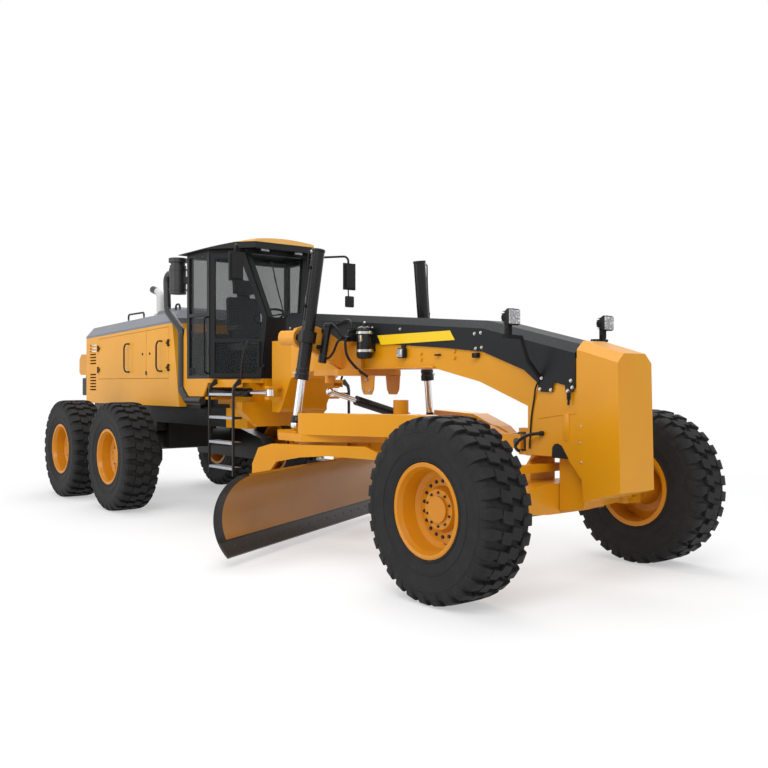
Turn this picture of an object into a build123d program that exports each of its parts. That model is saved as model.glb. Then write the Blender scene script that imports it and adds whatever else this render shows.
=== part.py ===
"""Motor grader, full size, in millimetres.

The machine looks along -Y, its right side is -X and +Z is up.  Everything is
laid out with y = 0 at the front axle and z = 0 on the ground, and save()
moves it back so that the frame's origin is under the middle of the machine.
"""
from build123d import *
from math import atan2, cos, radians, sin, sqrt
import os

# ------------------------------------------------------------ driving sizes
# overall layout (y from the front axle, z from the ground)
NOSE_Y = -780.0              # front face of the nose block
TAIL_Y = 9260.0              # rear face of the tail box
MID_Y = (NOSE_Y + TAIL_Y) / 2
WHEELBASE = 5998.0           # front axle to the first tandem axle
TANDEM_SPACING = 1737.0      # first to second tandem axle

# wheels
TYRE_R = 675.0
TYRE_W = 445.0
TREAD_DEPTH = 32.0
LUGS = 20                    # bars round each tyre
LUG_SHARE = 0.62             # part of the pitch that is bar, not groove
RIM_R = 345.0                # outside of the rim barrel
RIM_OUT = 197.0              # mid-plane to the edge of the rim flange
BEAD_OUT = 190.0             # mid-plane to the edge of the tyre's bead
WHEEL_X = 1207.0             # mid-plane of every wheel
HUB_R = 125.0
HUB_OUT = 66.0               # mid-plane to the hub's outer face
SPINDLE_R = 60.0
FIT = 0.05                   # radial clearance of a running fit
SLIDE_GAP = 0.4              # clearance of flat runners
SEAL = 0.3                   # glass to its frame

# front axle, leaning carriers and steering knuckles
AXLE_Z = TYRE_R
AXLE_PIN_Z = AXLE_Z + 15.0   # pin that the axle rocks on
AXLE_PIN_R = 45.0
LEAN_PIN_X = 720.0
LEAN_PIN_R = 35.0
KING_X = 890.0
KING_R = 32.0
LEAN_BAR_Z = AXLE_Z + 235.0
LEAN_BAR_PIN_R = 18.0
TIE_ROD_Z = AXLE_Z - 180.0
TIE_ROD_Y = 260.0            # steering arm's pin, behind the kingpin
TIE_ROD_SLACK = 18.0         # play in the rod's left eye
TIE_BALL_R = 26.0
STUD_R = 18.0
CROSS_PIN_R = 9.0            # pin through the stud's ball, right end of the rod

# front frame
BEAM_HALF = 200.0            # half width of the box beam
BEAM_BOTTOM = 1720.0
BEAM_RISE = 0.0847           # slope of the cover's top behind its knee
COVER_KNEE = (620.0, 2048.0)  # top of the cover's side where it bends down to the nose
COVER_FRONT = 1812.0         # the same at the cover's front end
COVER_CHAMFER = 70.0
COVER_LEAF = 12.0
COVER_HALF = BEAM_HALF + COVER_LEAF + 2
COVER_DEPTH = 210.0          # side of the cover, top to lower edge
COLUMN_Y = -380.0            # front face of the column
NOSE_HALF = 205.0
NOSE_LEAN = 25.0             # how far the nose's face leans back
NOSE_TOP = 1795.0            # top of the nose at its front
NOSE_RISE = 0.285            # slope of the nose's top
LAMP = (574.0, -23.0, 2088.0)
LAMP_R = 66.0
LAMP_BAR_R = 14.0
HINGE_Y = 3930.0             # articulation pin
HINGE_HALF = 300.0           # half width of the hinge housing
HINGE_PIN_R = 50.0
HINGE_LOW = 1260.0
HINGE_HIGH = 2060.0
EAR = 50.0

# drawbar, circle and blade
BALL_Y = 330.0
BALL_Z = 1100.0
BALL_R = 62.0
LIFT_BALL_R = 50.0
SHIFT_PIN_R = 16.0
SHIFT_BALL_R = 30.0          # spherical bearing in the drawbar's lug
SHIFT_LUG = 28.0
CIRCLE_Y = 2500.0
CIRCLE_R = 760.0
CIRCLE_BORE = 640.0
CIRCLE_WEB_R = 715.0         # outside of the ring below its flange
CIRCLE_TEETH = 64
TOOTH = 34.0
CIRCLE_Z = 930.0             # underside of the circle
CIRCLE_T = 100.0
BLADE_ANGLE = 28.0           # the right end is turned forward
BLADE_LENGTH = 4270.0
BLADE_SHIFT = 232.0          # how far the blade stands to the left of centre
BLADE_R = 403.6
EDGE_HIGH = 110.0            # height of the cutting edge
RAIL_HALF = 1500.0           # half length of the slide rails
BLADE_T = 20.0
BLADE_EDGE_T = 431.0         # cutting edge behind the middle of the circle
BLADE_FOOT = 100.0           # ground to the cutting edge
BLADE_TOP = 790.0
BLADE_TIP_FORWARD = 140.0    # how far the top leans ahead of the edge
ARM_X = 900.0                # blade arms, from the middle of the circle
ARM_T = 50.0
TIP_T = 745.0                # blade tip hinge, behind the circle's middle
TIP_Z = 330.0

# lift cylinders
LIFT_EYE = (-870.0, 2520.0, 1180.0)
LIFT_TOP = (-650.0, 2450.0, 2890.0)
LIFT_BARREL_R = 64.0
LIFT_ROD_R = 38.0
LIFT_BARREL_LEN = 1270.0

TRUNNION_AT = 860.0          # eye to the trunnion, along the cylinder
TRUNNION_R = 35.0
BOSS_FROM = 112.0            # trunnion to the near face of its boss
SADDLE_Y0 = 2290.0
SADDLE_Y1 = 2710.0
ARM_FRONT = 2592.0           # front face of the saddle's arms

# centre-shift cylinder
SHIFT_BASE = (520.0, 2500.0, 1225.0)
SHIFT_EYE = (-480.0, 2500.0, 1500.0)
SHIFT_EYE_R = 42.0
SHIFT_BARREL_R = 50.0
SHIFT_ROD_R = 26.0
SHIFT_BARREL_LEN = 700.0

# articulation cylinders
ART_BASE = (-640.0, 4720.0, 1480.0)
ART_EYE = (-430.0, 3720.0, 1480.0)
ART_BARREL_R = 50.0
ART_ROD_R = 26.0
ART_BARREL_LEN = 690.0
ART_PIN_R = 24.0

# drawbar
BAR_LOW = 1100.0
BAR_HIGH = 1300.0
BAR_REAR = 2700.0

# cab (half widths, seen from above, at floor, belt and eaves)
CAB_FLOOR = 1640.0
CAB_BELT = 2350.0
CAB_EAVES = 3100.0
CAB_HALF = 720.0
CAB_B_Y = 4610.0             # door pillar
CAB_C_Y = 5190.0             # rear pillar
CAB_FRONT_HALF = {"floor": 289.0, "belt": 243.0, "eaves": 418.0}
DOOR_SLOPE = 1.126           # how the door runs forward as it runs inward
PILLAR = 60.0
GLASS = 6.0
HEADER = 70.0                # height of the ring over the eaves
SIDE_RAIL_Z = 2400.0         # rail across the rear side window
REAR_SILL = 2200.0
DOOR_HINGE_Z = (1950.0, 2880.0)
HINGE_EYE_R = 15.0
HINGE_BAR_R = 8.0
HINGE_OFF = 26.0             # hinge line, out from the door's inner plane
HINGE_IN = 12.0              # hinge line, along the door from the pillar's corner

MIRROR = (-770.0, 3905.0, 2880.0)
AIR_CAN = (-720.0, 5440.0, 2690.0)     # foot of the air cleaner's can
AIR_CAN_R = 102.0
DUCT_R = 45.0
EXHAUST = (-300.0, 6895.0)
EXHAUST_R = 50.0

# towing tongue
TOW_Z = 1120.0
TOW_T = 50.0
TOW_R = 25.0

# ladders
LADDER_X = (680.0, 780.0)    # inner and outer side of the treads
LADDER_Y = (3915.0, 4475.0)  # the two rails
LANDING_X = (560.0, 690.0)
TREADS = (640.0, 920.0, 1200.0, 1460.0)

# hood and rear frame
RAIL_BOTTOM = 1060.0
HOOD_HALF = 600.0
HOOD_FRONT = 5660.0
HOOD_REAR = 8950.0
HOOD_BOTTOM = 1290.0
HOOD_SHOULDER_FRONT = 2370.0
HOOD_SHOULDER_REAR = 2280.0
HOOD_SHEET = 25.0
HOOD_RAKE = 200.0            # how far the front edge leans back
HOOD_CROWN = 190.0           # top cover above the shoulder
DOOR_LOW = 1650.0            # lower edge of the hood's doors
DOOR_DROP = 40.0             # shoulder down to the doors' upper edge
# front and rear edge of each hood door, y of its handle, and whether its hinge is at the rear edge
HOOD_DOORS = {"front": (5970.0, 6680.0, 6220.0, False), "rear": (6680.0, 8430.0, 7300.0, True)}
LEAF_GAP = 5.0
HOOD_HINGE_Z = (1790.0, 2110.0)
HOOD_RAILS = ((7150.0, 7700.0), (6000.0, 6120.0))   # ends of each grab rail
BUMPER = (1720.0, 2040.0)    # low and high of the rear bumper
TANDEM_Y = WHEELBASE + TANDEM_SPACING / 2
LEVELS = {"floor": CAB_FLOOR, "belt": CAB_BELT, "eaves": CAB_EAVES}
CAB_FRONT = {level: (half, CAB_B_Y - (CAB_HALF - half) * DOOR_SLOPE) for level, half in CAB_FRONT_HALF.items()}


# ---------------------------------------------------------------- helpers
def prism_x(points, x0, x1):
    """Outline of (y, z) points, pushed from x0 to x1."""
    face = make_face(Polyline(*points, close=True))
    return extrude(Plane.YZ.offset(x0) * face, x1 - x0)


def prism_y(points, y0, y1):
    """Outline of (x, z) points, pushed from y0 to y1."""
    face = make_face(Polyline(*points, close=True))
    return extrude(Plane.XZ.offset(-y1) * face, y1 - y0)


def prism_z(points, z0, z1):
    """Outline of (x, y) points, pushed from z0 to z1."""
    face = make_face(Polyline(*points, close=True))
    return extrude(Plane.XY.offset(z0) * face, z1 - z0)


def box(x0, x1, y0, y1, z0, z1):
    """Block between two corners."""
    size = (x1 - x0, y1 - y0, z1 - z0)
    return Pos((x0 + x1) / 2, (y0 + y1) / 2, (z0 + z1) / 2) * Box(*size)


def rod(p, q, radius):
    """Round bar from p to q."""
    start = Vector(*p)
    axis = Vector(*q) - start
    low = (Align.CENTER, Align.CENTER, Align.MIN)
    return Plane(origin=start, z_dir=axis) * Cylinder(radius, axis.length, align=low)


def tube(points, radius, bend):
    """Round tube along straight runs joined by tangent arcs."""
    path = FilletPolyline(*points, radius=bend)
    return sweep(Plane(origin=path @ 0, z_dir=path % 0) * Circle(radius), path=path)


def ball(centre, radius, axis=(0, 0, 1)):
    """Ball turned about an axis from a many-sided half circle."""
    steps = 12
    arc = [(radius * sin(radians(180 * i / steps)), -radius * cos(radians(180 * i / steps))) for i in range(steps + 1)]
    arc[0], arc[-1] = (0, -radius), (0, radius)
    turned = revolve(Plane.XZ * make_face(Polyline(*arc, close=True)), Axis.Z)
    return Plane(origin=Vector(*centre), z_dir=axis) * turned


def mirror_x(shape):
    """The same piece on the machine's other side."""
    return mirror(shape, about=Plane.YZ)


def along(p, q, distance):
    """Point at a distance from p on the way to q."""
    a, b = Vector(*p), Vector(*q)
    point = a + (b - a).normalized() * distance
    return (point.X, point.Y, point.Z)


TRUNNION = along(LIFT_EYE, LIFT_TOP, TRUNNION_AT)
# the trunnion's pin is square to the way the lift eye moves as the drawbar swings
SWING_ARM = (LIFT_EYE[1] - BALL_Y, -LIFT_EYE[0])
SWING_LEN = sqrt(SWING_ARM[0] ** 2 + SWING_ARM[1] ** 2)
PIN_DIR = (-SWING_ARM[1] / SWING_LEN, SWING_ARM[0] / SWING_LEN)


def save(name, *shapes):
    """Write one sub-part, moved to the machine's own frame."""
    solids = [s for shape in shapes for s in shape.solids()]
    moved = [Pos(0, -MID_Y, 0) * s for s in solids]
    whole = moved[0] if len(moved) == 1 else Compound(children=moved)
    export_step(whole, f"parts/{name}.step")


# ----------------------------------------------------------------- wheels
def tyre_points(bar):
    """Half profile of the tyre as (radius, offset from the mid-plane)."""
    half = TYRE_W / 2
    depth = 0 if bar else TREAD_DEPTH
    return [(RIM_R, BEAD_OUT), (TYRE_R - 75, half - 4), (TYRE_R - 14 - 0.6 * depth, half - 26),
            (TYRE_R - depth, half - 70)]


def tyre(side, y):
    """Tyre of a wheel: flat-faced ring with a bar and a groove in each pitch."""
    pitch = 360 / LUGS
    stations, profiles = [], []
    for i in range(LUGS):
        start = (i - LUG_SHARE / 2) * pitch
        stations += [start, start + LUG_SHARE * pitch]
        profiles += [True, False]
    widest = cos(radians(max(LUG_SHARE, 1 - LUG_SHARE) * pitch / 2))
    outline = {}
    for bar in (True, False):
        near = tyre_points(bar)
        outline[bar] = [(r / widest, u) for r, u in near + [(r, -u) for r, u in reversed(near)]]

    def at(angle, r, u):
        return Vector(u, r * sin(radians(angle)), -r * cos(radians(angle)))

    faces = []
    for i, angle in enumerate(stations):
        after = stations[(i + 1) % len(stations)]
        ring = outline[profiles[i]]
        for p, q in zip(ring, ring[1:] + ring[:1]):
            corners = [at(angle, *p), at(angle, *q), at(after, *q), at(after, *p)]
            faces.append(Face(Wire.make_polygon(corners, close=True)))
        other = outline[profiles[i - 1]]
        wall = ring[1:7] + other[5:1:-1]
        faces.append(Face(Wire.make_polygon([at(angle, *p) for p in wall], close=True)))
    return Pos(side * WHEEL_X, y, AXLE_Z) * Solid(Shell(faces))


def rim(side, y):
    """Deep-dished rim with its disc, hub cover and spindle bore."""
    out = RIM_OUT
    # (offset toward the outside, radius); the disc stands well inside
    profile = [(out, RIM_R - SEAL), (out + 6, RIM_R - 12), (out, RIM_R - 32), (out - 42, RIM_R - 50), (48, RIM_R - 66),
               (22, 245), (22, HUB_R + 45), (HUB_OUT, HUB_R + 20), (HUB_OUT, SPINDLE_R + FIT), (-140, SPINDLE_R + FIT),
               (-140, HUB_R), (-16, HUB_R + 45), (-16, 230), (4, RIM_R - 40), (-out, RIM_R - 40), (-out, RIM_R - SEAL),
               (-out + 12, RIM_R - SEAL), (out - 12, RIM_R - SEAL)]
    ring = revolve(Plane.XZ * make_face(Polyline(*profile, close=True)), Axis.X)
    cap = Pos(HUB_OUT + 9, 0, 0) * Rot(0, 90, 0) * Cylinder(HUB_R - 30, 18)
    wheel = ring + cap
    if side < 0:
        wheel = mirror_x(wheel)
    return Pos(side * WHEEL_X, y, AXLE_Z) * wheel


# ------------------------------------------------------------- front axle
def front_axle():
    """Axle beam hung on its pin under the column, with a lug at each end."""
    out = LEAN_PIN_X - 70
    top = [(-out, AXLE_Z + 60), (-230, AXLE_Z + 120), (230, AXLE_Z + 120), (out, AXLE_Z + 60)]
    low = [(out, AXLE_Z - 90), (230, AXLE_Z - 120), (-230, AXLE_Z - 120), (-out, AXLE_Z - 90)]
    beam = prism_y(top + low, -130, 130)
    for side in (-1, 1):
        lug = box(min(side * (out - 20), side * (LEAN_PIN_X + 55)),
                  max(side * (out - 20), side * (LEAN_PIN_X + 55)), -50, 50, AXLE_Z - 60, AXLE_Z + 60)
        beam += lug
        beam -= rod((side * LEAN_PIN_X, -60, AXLE_Z), (side * LEAN_PIN_X, 60, AXLE_Z), LEAN_PIN_R + FIT)
    beam -= rod((0, -140, AXLE_PIN_Z), (0, 140, AXLE_PIN_Z), AXLE_PIN_R + FIT)
    return beam


def lean_carrier(side):
    """Leaning carrier: cheeks round the axle's lug, kingpin boss and upright."""
    cheek = [(LEAN_PIN_X - 50, AXLE_Z - 50), (KING_X - 75, AXLE_Z - 75), (KING_X - 75, AXLE_Z + 120),
             (LEAN_PIN_X + 48, LEAN_BAR_Z + 45), (LEAN_PIN_X - 48, LEAN_BAR_Z + 45)]
    part = prism_y(cheek, 52, 90) + prism_y(cheek, -90, -52)
    part += box(KING_X - 80, KING_X, -90, 90, AXLE_Z - 75, AXLE_Z + 75)
    part += rod((KING_X, 0, AXLE_Z - 75), (KING_X, 0, AXLE_Z + 75), 72)
    part -= rod((KING_X, 0, AXLE_Z - 80), (KING_X, 0, AXLE_Z + 80), KING_R + FIT)
    part += rod((LEAN_PIN_X, -90, AXLE_Z), (LEAN_PIN_X, 90, AXLE_Z), LEAN_PIN_R)
    part += rod((LEAN_PIN_X, -90, LEAN_BAR_Z), (LEAN_PIN_X, 90, LEAN_BAR_Z), LEAN_BAR_PIN_R)
    return part if side > 0 else mirror_x(part)


def knuckle(side):
    """Steering knuckle: fork on the kingpin, steering arm and wheel spindle."""
    gap = 5
    face = KING_X + 82
    part = None
    for z in (AXLE_Z + 75 + gap, AXLE_Z - 130):
        plate = box(KING_X, face, -60, 60, z, z + 50) + rod((KING_X, 0, z), (KING_X, 0, z + 50), 60)
        part = plate if part is None else part + plate
    part += box(face - 4, face + 30, -95, 95, AXLE_Z - 130, AXLE_Z + 130)
    part += rod((KING_X, 0, AXLE_Z - 130), (KING_X, 0, AXLE_Z + 130), KING_R)
    part += rod((face, 0, AXLE_Z), (WHEEL_X + HUB_OUT - 2, 0, AXLE_Z), SPINDLE_R)
    arm = [(KING_X - 42, 50), (KING_X + 42, 50), (KING_X + 34, TIE_ROD_Y), (KING_X - 34, TIE_ROD_Y)]
    part += prism_z(arm, AXLE_Z - 130, AXLE_Z - 95)
    part += rod((KING_X, TIE_ROD_Y, AXLE_Z - 130), (KING_X, TIE_ROD_Y, AXLE_Z - 95), 34)
    if side > 0:
        return part + stud(KING_X)
    part -= rod((KING_X, TIE_ROD_Y, AXLE_Z - 140), (KING_X, TIE_ROD_Y, AXLE_Z - 90), STUD_R + FIT)
    return mirror_x(part)


def stud(x):
    """Ball stud under a steering arm, bored for the rod's cross pin."""
    y, z = TIE_ROD_Y, TIE_ROD_Z
    part = rod((x, y, z), (x, y, AXLE_Z - 95), STUD_R) + ball((x, y, z), TIE_BALL_R, (0, 1, 0))
    return part - rod((x, y - 40, z), (x, y + 40, z), CROSS_PIN_R + FIT)


def lean_bar():
    """Bar that ties the two leaning carriers together above the axle."""
    bar = box(-LEAN_PIN_X + 20, LEAN_PIN_X - 20, -28, 28, LEAN_BAR_Z - 32, LEAN_BAR_Z + 32)
    for side in (-1, 1):
        x = side * LEAN_PIN_X
        bar += rod((x, -40, LEAN_BAR_Z), (x, 40, LEAN_BAR_Z), 42)
        bar -= rod((x, -50, LEAN_BAR_Z), (x, 50, LEAN_BAR_Z), LEAN_BAR_PIN_R + FIT)
    return bar


def tie_rod():
    """Track rod between the two steering arms, with play in its left eye."""
    y, z = TIE_ROD_Y, TIE_ROD_Z
    eyes = {-1: TIE_BALL_R + 0.4, 1: TIE_BALL_R + TIE_ROD_SLACK}
    bar = rod((-KING_X + 32, y, z), (KING_X - eyes[1] - 6, y, z), 20)
    for side, bore in eyes.items():
        x = side * KING_X
        bar += rod((x, y, z - 15), (x, y, z + 15), bore + 12)
        bar -= rod((x, y, z - 20), (x, y, z + 20), bore)
    return bar + rod((-KING_X, y - 38, z), (-KING_X, y + 38, z), CROSS_PIN_R)


# ------------------------------------------------------------ front frame
def cover_top(y):
    """Height of the cover's side at y."""
    knee_y, knee_z = COVER_KNEE
    if y >= knee_y:
        return knee_z + BEAM_RISE * (y - knee_y)
    return knee_z - (knee_z - COVER_FRONT) * (knee_y - y) / (knee_y - COLUMN_Y - 10)


def front_frame():
    """Gooseneck box beam, column over the axle, cast nose and hinge housing."""
    back = HINGE_Y - 170
    side = [(back, BEAM_BOTTOM), (1250, BEAM_BOTTOM), (666, 1596), (120, 1400), (120, 1010), (-140, 1010),
            (-140, 580), (COLUMN_Y, 620), (COLUMN_Y, cover_top(COLUMN_Y) - 40),
            (COVER_KNEE[0], COVER_KNEE[1] - 40), (back, cover_top(back) - 40)]
    frame = prism_x(side, -BEAM_HALF, BEAM_HALF)
    hanger = [(60, 1012), (120, 1012), (200, 900), (200, 600), (140, 580), (140, 960)]
    frame += prism_x(hanger, -150, 150)
    frame += rod((0, -150, AXLE_PIN_Z), (0, 195, AXLE_PIN_Z), AXLE_PIN_R)
    frame += nose_block()
    # the column's cheeks are cut back over the axle; its middle carries the axle's pin
    cheek = [(-130, 1000), (-290, 1000), (-430, 850), (-450, 560), (-130, 560)]
    for side in (-1, 1):
        x0, x1 = sorted((side * 120, side * (NOSE_HALF + 5)))
        frame -= prism_x(cheek, x0, x1)
    housing = [(3200, BEAM_BOTTOM), (3500, 1640), (3705, 1300), (3745, HINGE_LOW), (HINGE_Y - 30, HINGE_LOW),
               (HINGE_Y - 30, HINGE_HIGH), (3200, HINGE_HIGH)]
    plan = [(-BEAM_HALF, 3200), (BEAM_HALF, 3200), (HINGE_HALF, 3500), (HINGE_HALF, HINGE_Y - 30),
            (-HINGE_HALF, HINGE_Y - 30), (-HINGE_HALF, 3500)]
    flare = prism_x(housing, -HINGE_HALF, HINGE_HALF) & prism_z(plan, HINGE_LOW, HINGE_HIGH)
    flare -= box(-HINGE_HALF + 25, HINGE_HALF - 25, HINGE_Y - 170, HINGE_Y, HINGE_LOW + EAR, HINGE_HIGH - EAR)
    frame += flare
    for z in (HINGE_LOW, HINGE_HIGH - EAR):
        frame += box(-110, 110, HINGE_Y - 60, HINGE_Y, z, z + EAR)
        frame += rod((0, HINGE_Y, z), (0, HINGE_Y, z + EAR), 110)
    frame += rod((0, HINGE_Y, HINGE_LOW), (0, HINGE_Y, HINGE_HIGH), HINGE_PIN_R)
    for side in (-1, 1):
        x, y, z = side * -ART_EYE[0], ART_EYE[1], ART_EYE[2]
        x0, x1 = sorted((side * 250, x + side * 45))
        for z0 in (z - 75, z + 47):
            frame += box(x0, x1, y - 45, y + 45, z0, z0 + 28)
    # socket of the drawbar's ball, on the rear of the column
    frame += box(-90, 90, 100, BALL_Y - 90, BALL_Z - 110, BALL_Z + 110)
    for z in (BALL_Z - 110, BALL_Z + 80):
        frame += box(-55, 55, BALL_Y - 95, BALL_Y + 10, z, z + 30)
        frame += rod((0, BALL_Y, z), (0, BALL_Y, z + 30), 55)
        frame -= rod((0, BALL_Y, z - 5), (0, BALL_Y, z + 35), 30 + FIT)
    return frame


def beam_cover():
    """Chamfered sheet cover over the top of the beam, with its two work lamps."""
    rear = HINGE_Y - 190
    half = COVER_HALF
    top = [(COLUMN_Y + 10, cover_top(COLUMN_Y + 10)), COVER_KNEE, (rear, cover_top(rear))]
    low = [(rear, cover_top(rear) - COVER_DEPTH), (1100, cover_top(1100) - 190), (620, 1850), (150, 1690),
           (10, 1590), (-170, 1590), (COLUMN_Y + 10, 1545)]
    outer = prism_x(top + low, -half, half)
    ridge = half - COVER_CHAMFER
    upper = None
    for (y0, z0), (y1, z1) in zip(top, top[1:]):
        ends = []
        for y, z in ((y0, z0), (y1, z1)):
            section = [(-half, z - 1), (half, z - 1), (half, z), (ridge, z + COVER_CHAMFER),
                       (-ridge, z + COVER_CHAMFER), (-half, z)]
            ends.append(Plane.XZ.offset(-y) * make_face(Polyline(*section, close=True)))
        piece = loft(ends, ruled=True)
        upper = piece if upper is None else upper + piece
    cover = outer + upper
    inner = prism_x([(y, z - 38) for y, z in top] + [(rear, 1500), (top[0][0], 1500)],
                    -BEAM_HALF - 1, BEAM_HALF + 1)
    cover -= inner
    for lamp in front_lamps():
        cover += lamp
    return cover


def nose_block():
    """Cast nose on the front of the column, its top rising to the rear and its top corners cut off."""
    lean = NOSE_LEAN / 1010
    side = [(NOSE_Y, 780), (NOSE_Y + lean * 1220, 2000), (COLUMN_Y - 2, 2000), (COLUMN_Y, 1700), (COLUMN_Y + 1, 690),
            (COLUMN_Y - 50, 680)]
    ends = []
    for y in (NOSE_Y, COLUMN_Y + 1):
        top = NOSE_TOP + NOSE_RISE * (y - NOSE_Y)
        section = [(-NOSE_HALF, 600), (NOSE_HALF, 600), (NOSE_HALF, top - 70), (NOSE_HALF - 75, top),
                   (-NOSE_HALF + 75, top), (-NOSE_HALF, top - 70)]
        ends.append(Plane.XZ.offset(-y) * make_face(Polyline(*section, close=True)))
    return prism_x(side, -NOSE_HALF, NOSE_HALF) & loft(ends, ruled=True)


def saddle():
    """Saddle clamped round the beam, with an arm out to each lift cylinder."""
    half = BEAM_HALF
    part = box(-half - 330, half + 60, SADDLE_Y0, SADDLE_Y1, BEAM_BOTTOM - 60, BEAM_BOTTOM)
    for side in (-1, 1):
        x0, x1 = sorted((side * half, side * (half + 50)))
        part += box(x0, x1, SADDLE_Y0, SADDLE_Y1, BEAM_BOTTOM - 60, cover_top(SADDLE_Y0) - COVER_DEPTH - 15)
        pin_x, pin_z = side * -TRUNNION[0], TRUNNION[2]
        arm = [(side * half, 1700), (side * half, 1970), (side * 500, 2130), (side * 640, 2170),
               (pin_x + side * 40, pin_z + 95), (pin_x + side * 115, pin_z), (pin_x + side * 40, pin_z - 85),
               (side * 620, 1900)]
        part += prism_y(arm, ARM_FRONT, ARM_FRONT + 60)
        boss_axis = (-side * PIN_DIR[0], PIN_DIR[1])

        def on_pin(distance):
            return (pin_x + boss_axis[0] * distance, TRUNNION[1] + boss_axis[1] * distance, pin_z)

        part += rod(on_pin(BOSS_FROM), on_pin(BOSS_FROM + 185), 72)
        part -= rod(on_pin(BOSS_FROM - 30), on_pin(BOSS_FROM + 190), TRUNNION_R + FIT)
    x, y, z = SHIFT_EYE
    part += box(x - 45, x + 45, y - 20, y + 20, z + SHIFT_EYE_R + 46, BEAM_BOTTOM - 55)
    return part


def trunnion(side):
    """Collar round a lift cylinder, with the pin that swings in the saddle's arm."""
    collar = rod(along(LIFT_EYE, LIFT_TOP, TRUNNION_AT - 55), along(LIFT_EYE, LIFT_TOP, TRUNNION_AT + 55),
                 LIFT_BARREL_R + 26)
    x, y, z = TRUNNION
    near, far = LIFT_BARREL_R - 4, BOSS_FROM + 180
    return collar + rod((x + PIN_DIR[0] * near, y + PIN_DIR[1] * near, z), (x + PIN_DIR[0] * far, y + PIN_DIR[1] * far, z),
                        TRUNNION_R)


def front_lamps():
    """Two work lamps on bent bars out from the cover's lower corners."""
    parts = []
    for side in (-1, 1):
        x, y, z = side * LAMP[0], LAMP[1], LAMP[2]
        lamp = rod((x, y - 46, z), (x, y - 20, z), LAMP_R)
        lamp += Plane(origin=(x, y - 22, z), z_dir=(0, 1, 0)) * Cone(
            LAMP_R - 3, 34, 66, align=(Align.CENTER, Align.CENTER, Align.MIN))
        lamp += box(x - 18, x + 18, y - 12, y + 26, z - 140, z - 30)
        lamp += box(x - 40, x + 40, y - 22, y + 30, z - 156, z - 134)
        route = [(x, z - 145), (side * 430, z - 150), (side * 355, z - 330), (side * (COVER_HALF - 4), z - 466)]
        for (x0, z0), (x1, z1) in zip(route, route[1:]):
            slab = [(x0, z0 - LAMP_BAR_R), (x1, z1 - LAMP_BAR_R), (x1, z1 + LAMP_BAR_R), (x0, z0 + LAMP_BAR_R)]
            lamp += prism_y(slab, y - LAMP_BAR_R, y + LAMP_BAR_R)
        parts.append(lamp)
    return parts


# ------------------------------------------------- drawbar, circle, blade
def drawbar_ball():
    """Upright trunnion of the drawbar's ball joint."""
    part = rod((0, BALL_Y, BALL_Z - 110), (0, BALL_Y, BALL_Z + 110), 30)
    part += rod((0, BALL_Y, BALL_Z - 75), (0, BALL_Y, BALL_Z + 75), BALL_R)
    part += rod((-115, BALL_Y, BALL_Z), (115, BALL_Y, BALL_Z), 30)
    return part


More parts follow.
